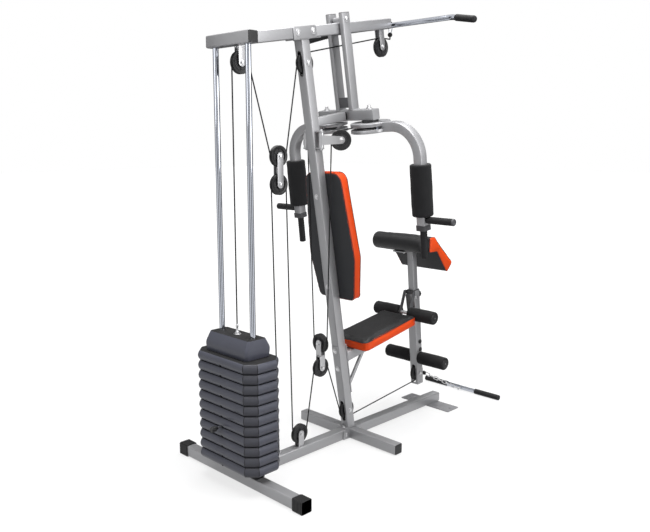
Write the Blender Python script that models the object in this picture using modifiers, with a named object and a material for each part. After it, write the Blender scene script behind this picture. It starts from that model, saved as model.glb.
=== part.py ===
"""Home multi gym with one weight stack: press arms with butterfly, lat pull, leg lever, curl pad and low row.

Metres, +Z up. The user faces +X, and +Y is the user's left. The origin is on the floor, under the middle of
the whole machine. Most of the machine is built in a frame that leans back with the main upright.
"""

import math

import bmesh
import bpy
from mathutils import Matrix, Vector

# Clearances
GAP = 0.0003
RUN = 0.0003
SIDE_PLAY = 0.0025

# Main frame tubes
TUBE = 0.050
WALL = 0.0025
CORNER = 0.005
HALF = TUBE / 2
FLOOR_LIFT = 0.004
PLATE = 0.004
BASE_LENGTH = 1.456
FOOT_PLATE = (0.103, 0.335)
FOOT_PLATE_INSET = 0.0105
CAP_SIZE = 0.058
CAP_LENGTH = 0.059
CAP_END = 0.004
REAR_SPAN = 0.8612
MID_X = 0.710
MID_SPAN = 0.664
MID_FLANGE = 0.140
FLANGE = 0.005

# The upright and all that leans with it
LEAN = math.radians(9.5)
UPRIGHT_X = 0.707
BEAM_TOP = 1.9667
BEAM_FRONT = 0.5977
FOOT_HALF = 0.027
BRACKET_REAR = 0.070
BRACKET_FRONT = 0.095
ROD_BOX_SPAN = 0.280
ROD_BOX_TOP = 1.930

# Weight stack
ROD_RADIUS = 0.0125
ROD_PITCH = 0.212
PLATE_DEPTH = 0.200
PLATE_WIDTH = 0.402
PLATE_CHAMFER = 0.045
PLATE_HEIGHT = 0.0454
PLATE_BULGE = 0.004
RESTING_COUNT = 4
LIFTED_COUNT = 7
CUSHION_HEIGHT = 0.0377
CAP_BLOCK = (0.138, 0.288, 0.084)
CAP_BLOCK_TOP = (0.092, 0.272)
STEM_RADIUS = 0.010
STEM_EYE = 0.045
ROD_CLEARANCE = 0.0015
STACK_CUSHION = (0.052, 0.280)
PIN_RADIUS = 0.0045
PIN_SLOT = 0.012
PIN_KNOB = (0.011, 0.026)
PIN_REACH = 0.0525

# Pulleys and cables
WHEEL_RADIUS = 0.047
WHEEL_WIDTH = 0.018
GROOVE_RADIUS = 0.0405
AXLE_RADIUS = 0.005
STRAP = 0.003
STRAP_WIDTH = 0.034
CABLE_RADIUS = 0.0025
BOLT_HEAD = 0.009
HEAD_HEIGHT = 0.005
HEAD_SINK = 0.0008
ARC_STEP = math.radians(20)
WRAP = (GROOVE_RADIUS + CABLE_RADIUS + GAP) / math.cos(ARC_STEP / 2)
TOP_REAR_WHEEL = Vector((WRAP, 0, 1.818))
BASE_WHEEL = Vector((0.364, 0, 0.115))
FLOAT_ONE = Vector((0.248, 0, 1.434))
FLOAT_ONE_DROP = 0.124
FLOAT_TWO = Vector((0.507, 0, 0.534))
FLOAT_TWO_DROP = 0.121
TOP_SLOT_HEIGHT = BEAM_TOP - 0.1564
LOW_SLOT_HEIGHT = 0.097
SLOT_HALF = 0.056
SLOT_WIDTH = 0.024
FRONT_WHEEL = Vector((0.5282, 0, 1.8357))
ANCHOR_X = 0.232
SWIVEL_OFFSET = 0.049
SWIVEL_ARM = 0.090
SWIVEL_ANGLE = math.radians(38)
SWIVEL_PIN = 0.004
BARREL_RADIUS = 0.009
BARREL_HALF = 0.034

# Press frame and butterfly arms
PRESS_X = 0.245
PRESS_PIVOT = BEAM_TOP + 0.0125
SLEEVE_RADIUS = 0.012
PRESS_TOP = 2.010
STILE = (0.050, 0.025)
STILE_PITCH = 0.083
PRESS_BAR_HEIGHT = 1.547
ARM_DROP = 0.057
PRESS_BAR_SPAN = 0.354
ARM_TUBE = 0.045
ARM_HEIGHT = PRESS_BAR_HEIGHT - ARM_DROP
SWIVEL_HEIGHT = ARM_HEIGHT + 0.013
ARM_PIVOT_Y = 0.137
ARM_PIN = 0.008
ARM_REACH = 0.410
ARM_BEND = 0.140
ARM_RAKE = math.tan(math.radians(2.9))
CAM_RADIUS = 0.094
CAM_GROOVE = 0.070
CAM_SLOT = 0.015
FOAM_RADIUS = 0.050
FOAM_TOP = 1.321
FOAM_BOTTOM = 1.085
HANDLE_RADIUS = 0.0165
SIDE_HANDLE_END = 0.582
SIDE_HANDLE_HEIGHT = 1.068
ARM_END = SIDE_HANDLE_HEIGHT - 0.036
DOWN_HANDLE_END = ARM_END - 0.146
BUMPER = 0.012
BUMPER_HALF = 0.018
STUB = 0.040

# Pads and seat
PAD_THICKNESS = 0.054
BACK_PAD_LOW = 0.688
BACK_PAD_HIGH = 1.314
BACK_PAD_WAIST = 0.905
BACK_PAD_ENDS = 0.234
BACK_PAD_WIDTH = 0.306
SEAT_BEAM_HEIGHT = 0.381
SEAT_BEAM_FRONT = 0.505
SEAT_REAR = 0.072
SEAT_FRONT = 0.478
SEAT_WIDTH = 0.236
BRACE_FOOT = 0.215
BRACE_HEAD = 0.170
SEAT_FLANGE = (0.185, 0.450)

# Front post, curl pad and leg lever
POST_LEAN = math.radians(5.5)
POST_X = 1.226
POST_Z = 0.650
SLEEVE_LOW = -0.060
SLEEVE_HIGH = 0.047
CURL_TUBE = 0.038
CURL_PLATE_TOP = 0.9225
CURL_PLATE = 0.006
CURL_HALF = 0.150
CURL_BOARD = 0.066
CURL_DROP = 0.1148
CURL_REACH = 0.204
CURL_CROWN = 0.0802
ROLL_RADIUS = 0.046
ROLL_X = 1.105
ROLL_HALF = 0.166
KNOB_HEIGHT = 0.013
KNOB_RADIUS = 0.019
KNOB_LENGTH = 0.024
LEVER_PIVOT = Vector((-0.018, 0, 0.011))
LEVER_TOP = -0.075
LEVER_END = -0.500
LEVER_WHEEL = -0.437
LEVER_SLOT_HALF = 0.052
LEVER_HOLES = (-0.2526, -0.2986)
LEVER_HOLE_RADIUS = 0.010
LOWER_AXLE = -0.345
ROLLER_RADIUS = 0.036
ROLLER_END = 0.200
ROLLER_AXLE = 0.010
FORK_PLATE = 0.004
FORK_AXLE = Vector((-0.0797, 0, -0.065))
FORK_FOOT = Vector((-0.1075, 0, -0.1287))
FORK_HEAD = Vector((-0.0365, 0, 0.034))

# Bars
BAR_RADIUS = 0.0125
GRIP_RADIUS = 0.0155
LAT_BAR = Vector((1.000, 0, 2.062))
LAT_STRAIGHT = 0.350
LAT_END = 0.530
LAT_SWEEP = Vector((-0.060, 0, -0.033))
LAT_GRIP_FROM = 0.400
STOP_RADIUS = 0.012
LAT_LEAD = 0.012
LAT_STOP = Vector((0.994, 0, 2.017))
LOW_BAR_X = 1.712
LOW_BAR_HALF = 0.265
LOW_GRIP_FROM = 0.100
LOW_STOP_RADIUS = 0.010
LOW_STOP = Vector((1.337, 0, 0.194))
LINK_PITCH = 0.045
LINK_WIRE = 0.0024
LINK_HALF_WIDTH = 0.0075

REAR_EDGE = -PLATE_DEPTH / 2 - PIN_REACH
FRONT_EDGE = LOW_BAR_X + GRIP_RADIUS
ORIGIN_X = (REAR_EDGE + FRONT_EDGE) / 2

# Finishes: colour, roughness, metallic
LOOKS = {
    "silver": ((0.56, 0.55, 0.58), 0.45, 0.5),
    "chrome": ((0.80, 0.80, 0.83), 0.12, 1.0),
    "zinc": ((0.74, 0.74, 0.77), 0.30, 1.0),
    "iron": ((0.07, 0.07, 0.085), 0.55, 0.2),
    "black_plastic": ((0.02, 0.02, 0.022), 0.45, 0.0),
    "black_steel": ((0.03, 0.03, 0.032), 0.40, 0.4),
    "foam": ((0.015, 0.015, 0.017), 0.75, 0.0),
    "vinyl": ((0.05, 0.05, 0.055), 0.40, 0.0),
    "grip": ((0.02, 0.02, 0.022), 0.60, 0.0),
    "cable": ((0.015, 0.015, 0.015), 0.50, 0.0),
}

for old in list(bpy.data.objects):
    bpy.data.objects.remove(old, do_unlink=True)

gym = bpy.data.collections.new("multi_gym")
bpy.context.scene.collection.children.link(gym)
cutters = bpy.data.collections.new("cutters")
bpy.context.scene.collection.children.link(cutters)


# Frames: empties that the pieces hang from

def add_frame(name, location, lean, parent=None):
    frame = bpy.data.objects.new(name, None)
    gym.objects.link(frame)
    frame.parent = parent
    frame.location = location
    frame.rotation_euler = (0, -lean, 0)
    return frame


floor = add_frame("floor_frame", (-ORIGIN_X, 0, 0), 0)
lean = add_frame("lean_frame", (UPRIGHT_X, 0, FLOOR_LIFT + TUBE + GAP), LEAN, floor)
post = add_frame("post_frame", (POST_X, 0, POST_Z), POST_LEAN, floor)


def lean_to_floor(point):
    """The floor frame's coordinates of a point given in the leaning frame."""
    turned_point = Matrix.Rotation(-LEAN, 3, "Y") @ Vector(point)
    return turned_point + Vector((UPRIGHT_X, 0, FLOOR_LIFT + TUBE + GAP))


def post_to_floor(point):
    turned_point = Matrix.Rotation(-POST_LEAN, 3, "Y") @ Vector(point)
    return turned_point + Vector((POST_X, 0, POST_Z))


# Shapes: each returns a mesh in its frame's coordinates

def mesh_from(bm, name="shape"):
    mesh = bpy.data.meshes.new(name)
    bm.to_mesh(mesh)
    bm.free()
    return mesh


def block(low, high):
    low, high = Vector(low), Vector(high)
    size = high - low
    middle = (low + high) / 2
    bm = bmesh.new()
    bmesh.ops.create_cube(bm, size=1, matrix=Matrix.Translation(middle) @ Matrix.Diagonal((*size, 1)))
    return mesh_from(bm)


def rod(start, end, radius, sides=12):
    start, end = Vector(start), Vector(end)
    along = end - start
    turn = along.to_track_quat("Z", "Y").to_matrix().to_4x4()
    bm = bmesh.new()
    bmesh.ops.create_cone(bm, cap_ends=True, segments=sides, radius1=radius, radius2=radius, depth=along.length,
                          matrix=Matrix.Translation((start + end) / 2) @ turn)
    return mesh_from(bm)


def ball(centre, radius):
    bm = bmesh.new()
    bmesh.ops.create_uvsphere(bm, u_segments=12, v_segments=6, radius=radius, matrix=Matrix.Translation(centre))
    return mesh_from(bm)


def rounded_outline(width, height, radius, steps=2):
    points = []
    for corner in range(4):
        sign_x = 1 if corner in (0, 3) else -1
        sign_y = 1 if corner < 2 else -1
        for step in range(steps + 1):
            angle = math.radians(90) * (corner + step / steps)
            points.append((sign_x * (width / 2 - radius) + radius * math.cos(angle),
                           sign_y * (height / 2 - radius) + radius * math.sin(angle)))
    return points


def mesh_of_curve(curve):
    """The welded mesh of a curve, whose caps are loose until they are merged."""
    holder = bpy.data.objects.new("curve_holder", curve)
    bpy.context.scene.collection.objects.link(holder)
    bpy.context.view_layer.update()
    evaluated = holder.evaluated_get(bpy.context.evaluated_depsgraph_get())
    mesh = bpy.data.meshes.new_from_object(evaluated)
    bpy.data.objects.remove(holder, do_unlink=True)
    bm = bmesh.new()
    bm.from_mesh(mesh)
    bmesh.ops.remove_doubles(bm, verts=bm.verts, dist=0.00001)
    bmesh.ops.recalc_face_normals(bm, faces=bm.faces)
    bm.to_mesh(mesh)
    bm.free()
    return mesh


def extruded(outlines, depth):
    """A flat outline, with holes for the outlines after the first, centred on z = 0."""
    curve = bpy.data.curves.new("outline", "CURVE")
    curve.dimensions = "2D"
    curve.fill_mode = "BOTH"
    curve.extrude = depth / 2
    for outline in outlines:
        spline = curve.splines.new("POLY")
        spline.points.add(len(outline) - 1)
        for point, (x, y) in zip(spline.points, outline):
            point.co = (x, y, 0, 1)
        spline.use_cyclic_u = True
    return mesh_of_curve(curve)


def side_plate(outline, y_from, y_to):
    """A plate parallel to the machine's mid-plane, its outline in x and z."""
    mesh = extruded([outline], abs(y_to - y_from))
    upright_turn = Matrix.Rotation(math.radians(90), 4, "X")
    mesh.transform(Matrix.Translation((0, (y_from + y_to) / 2, 0)) @ upright_turn)
    return mesh


def square_tube(start, end, width, height, wall=WALL, corner=CORNER):
    """A hollow tube from start to end; width is across, along Y or X, and height is the other way."""
    start, end = Vector(start), Vector(end)
    along = end - start
    outer = rounded_outline(width, height, corner)
    inner = rounded_outline(width - 2 * wall, height - 2 * wall, max(corner - wall, 0.001), 1)
    mesh = extruded([outer, inner], along.length)
    z_axis = along.normalized()
    x_axis = Vector((0, 1, 0)) if abs(z_axis.y) < 0.5 else Vector((1, 0, 0))
    y_axis = z_axis.cross(x_axis)
    turn = Matrix((x_axis, y_axis, z_axis)).transposed().to_4x4()
    mesh.transform(Matrix.Translation((start + end) / 2) @ turn)
    return mesh


def wire(points, radius, resolution=2):
    curve = bpy.data.curves.new("wire", "CURVE")
    curve.dimensions = "3D"
    curve.bevel_depth = radius
    curve.bevel_resolution = resolution
    curve.use_fill_caps = True
    spline = curve.splines.new("POLY")
    spline.points.add(len(points) - 1)
    for point, place in zip(spline.points, points):
        point.co = (*place, 1)
    return mesh_of_curve(curve)


def loft(rings):
    """A closed solid through rings of equal length, each end closed by a fan about its middle."""
    bm = bmesh.new()
    loops = [[bm.verts.new(Vector(point)) for point in ring] for ring in rings]
    count = len(rings[0])
    for lower, upper in zip(loops, loops[1:]):
        for k in range(count):
            bm.faces.new((lower[k], lower[(k + 1) % count], upper[(k + 1) % count], upper[k]))
    for loop, flip in ((loops[0], True), (loops[-1], False)):
        middle = bm.verts.new(sum((vert.co for vert in loop), Vector()) / count)
        for k in range(count):
            face = (loop[k], loop[(k + 1) % count], middle)
            bm.faces.new(face[::-1] if flip else face)
    bmesh.ops.recalc_face_normals(bm, faces=bm.faces)
    return mesh_from(bm)


# Pieces: objects with their finish, joined and cut by Booleans

def piece(name, mesh, frame, look, origin=(0, 0, 0)):
    mesh.transform(Matrix.Translation(-Vector(origin)))
    mesh.name = name
    obj = bpy.data.objects.new(name, mesh)
    gym.objects.link(obj)
    obj.parent = frame
    obj.location = origin
    colour, roughness, metallic = LOOKS[look]
    finish = bpy.data.materials.new(name + "_finish")
    finish.use_nodes = True
    shader = finish.node_tree.nodes["Principled BSDF"]
    shader.inputs["Base Color"].default_value = (*colour, 1)
    shader.inputs["Roughness"].default_value = roughness
    shader.inputs["Metallic"].default_value = metallic
    mesh.materials.clear()
    mesh.materials.append(finish)
    mesh.shade_smooth()
    mesh.set_sharp_from_angle(angle=math.radians(35))
    return obj


def boolean(obj, mesh, frame, operation):
    tool = bpy.data.objects.new(obj.name + "_" + operation.lower(), mesh)
    cutters.objects.link(tool)
    tool.parent = frame
    tool.hide_render = True
    tool.display_type = "WIRE"
    modifier = obj.modifiers.new(operation.title(), "BOOLEAN")
    modifier.operation = operation
    modifier.solver = "EXACT"
    modifier.object = tool


def weld(obj, *meshes, frame=None):
    for mesh in meshes:
        boolean(obj, mesh, frame or obj.parent, "UNION")


def cut(obj, *meshes, frame=None):
    for mesh in meshes:
        boolean(obj, mesh, frame or obj.parent, "DIFFERENCE")


def mirrored_y(low, high):
    """The same block on both sides of the mid-plane."""
    return [block(low, high), block((low[0], -high[1], low[2]), (high[0], -low[1], high[2]))]


def axle_bolt(centre, reach, radius=AXLE_RADIUS, head=BOLT_HEAD, sides=8):
    """A bolt along Y through the centre, with a head just outside each strap, as one stepped solid."""
    x, _, z = centre
    rings = []
    for y, size in ((-reach - HEAD_HEIGHT, head), (HEAD_SINK - reach, head), (HEAD_SINK - reach, radius),
                    (reach - HEAD_SINK, radius), (reach - HEAD_SINK, head), (reach + HEAD_HEIGHT, head)):
        angles = [math.radians(360) * (k + 0.5) / sides for k in range(sides)]
        rings.append([(x + size * math.cos(angle), y, z + size * math.sin(angle)) for angle in angles])
    return [loft(rings)]


STRAP_INSIDE = WHEEL_WIDTH / 2 + SIDE_PLAY
STRAP_OUTSIDE = STRAP_INSIDE + STRAP


def make_base():
    z_mid = FLOOR_LIFT + HALF
    z_top = FLOOR_LIFT + TUBE
    beam = piece("base_beam", square_tube((HALF + GAP, 0, z_mid), (BASE_LENGTH, 0, z_mid), TUBE, TUBE),
                 floor, "silver")
    plate_front = BASE_LENGTH - FOOT_PLATE_INSET
    foot = block((plate_front - FOOT_PLATE[0], -FOOT_PLATE[1] / 2, 0),
                 (plate_front, FOOT_PLATE[1] / 2, FLOOR_LIFT + 0.0005))
    end_cover = block((BASE_LENGTH - 0.003, 0.001 - HALF, FLOOR_LIFT + 0.001),
                      (BASE_LENGTH - 0.0005, HALF - 0.001, z_top - 0.001))
    strap_half = STRAP_WIDTH / 2
    straps = mirrored_y((BASE_WHEEL.x - strap_half, STRAP_INSIDE, z_top - 0.001),
                        (BASE_WHEEL.x + strap_half, STRAP_OUTSIDE, BASE_WHEEL.z + strap_half))
    anchor = block((ANCHOR_X - 0.008, -0.006, z_top - 0.001), (ANCHOR_X + 0.008, 0.006, z_top + 0.018))
    weld(beam, foot, end_cover, *straps, *axle_bolt(BASE_WHEEL, STRAP_OUTSIDE), anchor)

    bar_half = REAR_SPAN / 2 - CAP_END - GAP
    piece("rear_crossbar", square_tube((0, -bar_half, z_mid), (0, bar_half, z_mid), TUBE, TUBE), floor, "silver")
    for name, side in (("left", 1), ("right", -1)):
        outer = side * REAR_SPAN / 2
        inner = side * (REAR_SPAN / 2 - CAP_LENGTH)
        cap_mesh = extruded([rounded_outline(CAP_SIZE, CAP_SIZE, 0.006)], CAP_LENGTH)
        cap_mesh.transform(Matrix.Translation((0, (outer + inner) / 2, CAP_SIZE / 2))
                           @ Matrix.Rotation(math.radians(90), 4, "X"))
        cap = piece("rear_cap_" + name, cap_mesh, floor, "black_plastic")
        pocket = extruded([rounded_outline(TUBE + 2 * GAP, TUBE + 2 * GAP, CORNER)], CAP_LENGTH)
        pocket.transform(Matrix.Translation((0, (outer + inner) / 2 - side * CAP_END, z_mid))
                         @ Matrix.Rotation(math.radians(90), 4, "X"))
        cut(cap, pocket)

        near = side * (HALF + GAP)
        far = side * MID_SPAN / 2
        cross = piece("mid_crossbar_" + name,
                      square_tube((MID_X, near + side * (FLANGE - 0.001), z_mid), (MID_X, far, z_mid), TUBE, TUBE),
                      floor, "silver")
        ys = sorted((near, near + side * FLANGE))
        flange = block((MID_X - MID_FLANGE / 2, ys[0], FLOOR_LIFT + 0.001),
                       (MID_X + MID_FLANGE / 2, ys[1], z_top - 0.001))
        ends = sorted((far - side * 0.0005, far - side * 0.003))
        cover = block((MID_X - HALF + 0.001, ends[0], FLOOR_LIFT + 0.001),
                      (MID_X + HALF - 0.001, ends[1], z_top - 0.001))
        weld(cross, flange, cover)
        vent = rod((MID_X, near - side * 0.01, z_mid), (MID_X, near + side * 0.02, z_mid), 0.012, 8)
        cut(cross, vent)


def make_upright():
    top = BEAM_TOP - TUBE - GAP - PLATE
    upright = piece("main_upright", square_tube((0, 0, -0.02), (0, 0, top + 0.001), TUBE, TUBE), lean, "silver")
    foot_top = FLOOR_LIFT + TUBE + GAP
    cut(upright, block((UPRIGHT_X - 0.1, -0.1, foot_top - 0.1), (UPRIGHT_X + 0.1, 0.1, foot_top)), frame=floor)
    for height in (TOP_SLOT_HEIGHT, LOW_SLOT_HEIGHT):
        cut(upright, block((-0.06, -SLOT_WIDTH / 2, height - SLOT_HALF), (0.06, SLOT_WIDTH / 2, height + SLOT_HALF)))
    foot = block((UPRIGHT_X - 0.045, -FOOT_HALF, foot_top), (UPRIGHT_X + 0.045, FOOT_HALF, foot_top + PLATE))
    weld(upright, foot, frame=floor)
    saddle = block((-BRACKET_REAR, -HALF - GAP - PLATE, top), (BRACKET_FRONT, HALF + GAP + PLATE, top + PLATE))
    cheeks = mirrored_y((-BRACKET_REAR, HALF + GAP, top + 0.0005),
                        (BRACKET_REAR, HALF + GAP + PLATE, BEAM_TOP + 0.001))
    stub = square_tube((HALF - 0.002, 0, PRESS_BAR_HEIGHT), (PRESS_X - HALF - 2 * GAP - BUMPER, 0, PRESS_BAR_HEIGHT),
                       STUB, STUB)
    weld(upright, saddle, *cheeks, stub)
    for height in (TOP_SLOT_HEIGHT, LOW_SLOT_HEIGHT):
        weld(upright, *axle_bolt((0, 0, height), HALF))

    centre_x = UPRIGHT_X - (SWIVEL_HEIGHT - foot_top) * math.tan(LEAN)
    for side in (-1, 1):
        ys = sorted((side * (HALF - 0.001), side * (SWIVEL_OFFSET + 0.012)))
        for level in (-1, 1):
            zs = sorted((SWIVEL_HEIGHT + level * (BARREL_HALF + GAP), SWIVEL_HEIGHT + level * (BARREL_HALF + 0.006)))
            weld(upright, block((centre_x - 0.014, ys[0], zs[0]), (centre_x + 0.014, ys[1], zs[1])), frame=floor)
        hole = rod((centre_x, side * SWIVEL_OFFSET, SWIVEL_HEIGHT - 0.06),
                   (centre_x, side * SWIVEL_OFFSET, SWIVEL_HEIGHT + 0.06), SWIVEL_PIN + RUN)
        cut(upright, hole, frame=floor)

    bumper_from = PRESS_X - HALF - GAP - BUMPER
    piece("arm_bumper", block((bumper_from, -BUMPER_HALF, PRESS_BAR_HEIGHT - BUMPER_HALF),
                              (bumper_from + BUMPER, BUMPER_HALF, PRESS_BAR_HEIGHT + BUMPER_HALF)),
          lean, "black_plastic")
    return centre_x


def make_top_beams():
    z_mid = BEAM_TOP - HALF
    rear_start = (lean.rotation_euler.to_matrix().inverted()
                  @ (Vector((HALF - 0.006, 0, ROD_BOX_TOP - HALF)) - lean.location)).x
    rear = piece("rear_top_beam", square_tube((rear_start, 0, z_mid), (-GAP / 2, 0, z_mid), TUBE, TUBE), lean, "silver")
    box_mid = ROD_BOX_TOP - HALF
    box_tube = square_tube((0, -ROD_BOX_SPAN / 2, box_mid), (0, ROD_BOX_SPAN / 2, box_mid), TUBE, TUBE)
    strap_half = STRAP_WIDTH / 2
    x = TOP_REAR_WHEEL.x
    straps = mirrored_y((x - strap_half, STRAP_INSIDE, TOP_REAR_WHEEL.z - strap_half),
                        (x + strap_half, STRAP_OUTSIDE, ROD_BOX_TOP - TUBE + 0.010))
    weld(rear, box_tube, *straps, *axle_bolt(TOP_REAR_WHEEL, STRAP_OUTSIDE), frame=floor)
    for side in (-1, 1):
        outer = side * ROD_BOX_SPAN / 2
        ys = sorted((outer - side * 0.0005, outer - side * 0.003))
        cover = block((0.001 - HALF, ys[0], box_mid - HALF + 0.001), (HALF - 0.001, ys[1], box_mid + HALF - 0.001))
        weld(rear, cover, frame=floor)
        bolt_hole = rod((0, side * ROD_PITCH / 2, box_mid - HALF - 0.01), (0, side * ROD_PITCH / 2, box_mid - 0.01),
                        0.006, 12)
        cut(rear, bolt_hole, frame=floor)

    front = piece("front_top_beam", square_tube((GAP / 2, 0, z_mid), (BEAM_FRONT, 0, z_mid), TUBE, TUBE),
                  lean, "silver")
    end_cover = block((BEAM_FRONT - 0.003, 0.001 - HALF, z_mid - HALF + 0.001),
                      (BEAM_FRONT - 0.0005, HALF - 0.001, z_mid + HALF - 0.001))
    sleeve = rod((PRESS_X, -HALF, PRESS_PIVOT), (PRESS_X, HALF, PRESS_PIVOT), SLEEVE_RADIUS, 14)
    saddle = block((PRESS_X - 0.009, -HALF + 0.002, BEAM_TOP - 0.001), (PRESS_X + 0.009, HALF - 0.002, PRESS_PIVOT))
    straps = mirrored_y((FRONT_WHEEL.x - strap_half, STRAP_INSIDE, FRONT_WHEEL.z - strap_half),
                        (FRONT_WHEEL.x + strap_half, STRAP_OUTSIDE, BEAM_TOP - TUBE + 0.001))
    weld(front, end_cover, saddle, sleeve)
    cut(front, rod((PRESS_X, -0.04, PRESS_PIVOT), (PRESS_X, 0.04, PRESS_PIVOT), AXLE_RADIUS + RUN))
    weld(front, *straps, *axle_bolt(FRONT_WHEEL, STRAP_OUTSIDE))


# Weight stack

def stack_ring(depth, width, chamfer, height):
    """An eight-cornered ring at one height."""
    x, y = depth / 2, width / 2
    corners = ((x, y - chamfer), (x - chamfer, y), (chamfer - x, y), (-x, y - chamfer),
               (-x, chamfer - y), (chamfer - x, -y), (x - chamfer, -y), (x, chamfer - y))
    return [(px, py, height) for px, py in corners]


def plate_rings(z_low, count):
    rings = []
    for k in range(count):
        z = z_low + k * PLATE_HEIGHT
        for inset, rise in ((PLATE_BULGE, 0.0), (0.0, 0.4 * PLATE_HEIGHT), (0.0, 0.6 * PLATE_HEIGHT),
                            (PLATE_BULGE, PLATE_HEIGHT)):
            if rings and rise == 0.0:
                continue
            rings.append(stack_ring(PLATE_DEPTH - 2 * inset, PLATE_WIDTH - 2 * inset,
                                    PLATE_CHAMFER - 0.6 * inset, z + rise))
    return rings


def make_stack():
    rod_low = FLOOR_LIFT + TUBE + GAP
    rod_high = ROD_BOX_TOP - TUBE - GAP
    stack_low = rod_low + CUSHION_HEIGHT
    split = stack_low + GAP + RESTING_COUNT * PLATE_HEIGHT
    stack_top = split + GAP + LIFTED_COUNT * PLATE_HEIGHT
    cap_top = stack_top + GAP + CAP_BLOCK[2]
    for name, side in (("left", 1), ("right", -1)):
        y = side * ROD_PITCH / 2
        piece("guide_rod_" + name, rod((0, y, rod_low), (0, y, rod_high), ROD_RADIUS, 20), floor, "chrome")

    def rod_holes(low, high):
        return [rod((0, side * ROD_PITCH / 2, low - 0.01), (0, side * ROD_PITCH / 2, high + 0.01),
                    ROD_RADIUS + ROD_CLEARANCE) for side in (-1, 1)]

    depth, width = STACK_CUSHION
    cushion = piece("stack_cushion", block((-depth / 2, -width / 2, rod_low), (depth / 2, width / 2, stack_low)),
                    floor, "foam")
    cut(cushion, *rod_holes(rod_low, stack_low))

    resting = piece("resting_plates", loft(plate_rings(stack_low + GAP, RESTING_COUNT)), floor, "iron")
    lifted = piece("lifted_plates", loft(plate_rings(split + GAP, LIFTED_COUNT)), floor, "iron")
    for plates, low, count in ((resting, stack_low + GAP, RESTING_COUNT), (lifted, split + GAP, LIFTED_COUNT)):
        high = low + count * PLATE_HEIGHT
        cut(plates, *rod_holes(low, high))
        cut(plates, rod((0, 0, low - 0.01), (0, 0, high + 0.01), STEM_RADIUS + ROD_CLEARANCE))
        for k in range(count):
            z = low + k * PLATE_HEIGHT
            cut(plates, block((-PLATE_DEPTH, -PIN_SLOT / 2, z - 0.002), (0, PIN_SLOT / 2, z + PIN_SLOT)))

    depth, width, height = CAP_BLOCK
    top_depth, top_width = CAP_BLOCK_TOP
    cap_low = stack_top + GAP
    cap_rings = [stack_ring(depth - 0.006, width - 0.006, 0.008, cap_low),
                 stack_ring(depth, width, 0.009, cap_low + 0.45 * height),
                 stack_ring(top_depth + 0.006, top_width + 0.006, 0.008, cap_top - 0.003),
                 stack_ring(top_depth, top_width, 0.007, cap_top)]
    cap = piece("stack_cap", loft(cap_rings), floor, "iron")
    cut(cap, *rod_holes(cap_low, cap_top),
        rod((0, 0, cap_low - 0.01), (0, 0, cap_top + 0.01), STEM_RADIUS + ROD_CLEARANCE))

    stem_low = stack_low + 0.010
    stem = piece("selector_stem", rod((0, 0, stem_low), (0, 0, cap_top + 0.012), STEM_RADIUS, 10), floor, "zinc")
    collar = rod((0, 0, cap_top + GAP), (0, 0, cap_top + 0.010), STEM_RADIUS + 0.006, 6)
    neck = rod((0, 0, cap_top + 0.008), (0, 0, cap_top + STEM_EYE), 0.006, 12)
    weld(stem, collar, neck)
    pin_drop = PIN_SLOT / 2
    first_hole = stack_low + GAP + pin_drop
    for k in range(1, RESTING_COUNT + LIFTED_COUNT):
        z = first_hole + k * PLATE_HEIGHT + (GAP if k >= RESTING_COUNT else 0)
        cut(stem, rod((-0.03, 0, z), (0.03, 0, z), PIN_RADIUS + 0.001, 6))
    pin_z = split + GAP + pin_drop
    knob_radius, knob_length = PIN_KNOB
    pin = piece("selector_pin", rod((REAR_EDGE + 0.002, 0, pin_z), (STEM_RADIUS, 0, pin_z), PIN_RADIUS, 12),
                floor, "black_plastic", origin=(REAR_EDGE, 0, pin_z))
    weld(pin, rod((REAR_EDGE, 0, pin_z), (REAR_EDGE + knob_length, 0, pin_z), knob_radius))
    return cap_top


# Pulleys

def make_pulley(name, frame, centre, axis):
    """A grooved wheel turned about its own axle."""
    half = WHEEL_WIDTH / 2
    bore = AXLE_RADIUS + RUN
    profile = [(bore, half), (WHEEL_RADIUS, half), (GROOVE_RADIUS, CABLE_RADIUS), (GROOVE_RADIUS, -CABLE_RADIUS),
               (WHEEL_RADIUS, -half), (bore, -half)]
    mesh = bpy.data.meshes.new(name)
    edges = [(k, (k + 1) % len(profile)) for k in range(len(profile))]
    mesh.from_pydata([(x, 0, z) for x, z in profile], edges, [])
    wheel = piece(name, mesh, frame, "black_plastic")
    wheel.location = centre
    wheel.rotation_mode = "QUATERNION"
    wheel.rotation_quaternion = Vector(axis).to_track_quat("Z", "X")
    screw = wheel.modifiers.new("Turn", "SCREW")
    screw.axis = "Z"
    screw.steps = 16
    screw.render_steps = 16
    screw.use_merge_vertices = True
    screw.merge_threshold = 0.00001
    screw.use_smooth_shade = True
    return wheel


def swivel_place(centre_x, side):
    """Where a swivel pulley's wheel stands, and the way its arm points."""
    arm = Vector((math.cos(SWIVEL_ANGLE), side * math.sin(SWIVEL_ANGLE), 0))
    pin = Vector((centre_x, side * SWIVEL_OFFSET, SWIVEL_HEIGHT))
    return pin, arm, pin + arm * SWIVEL_ARM


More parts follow.
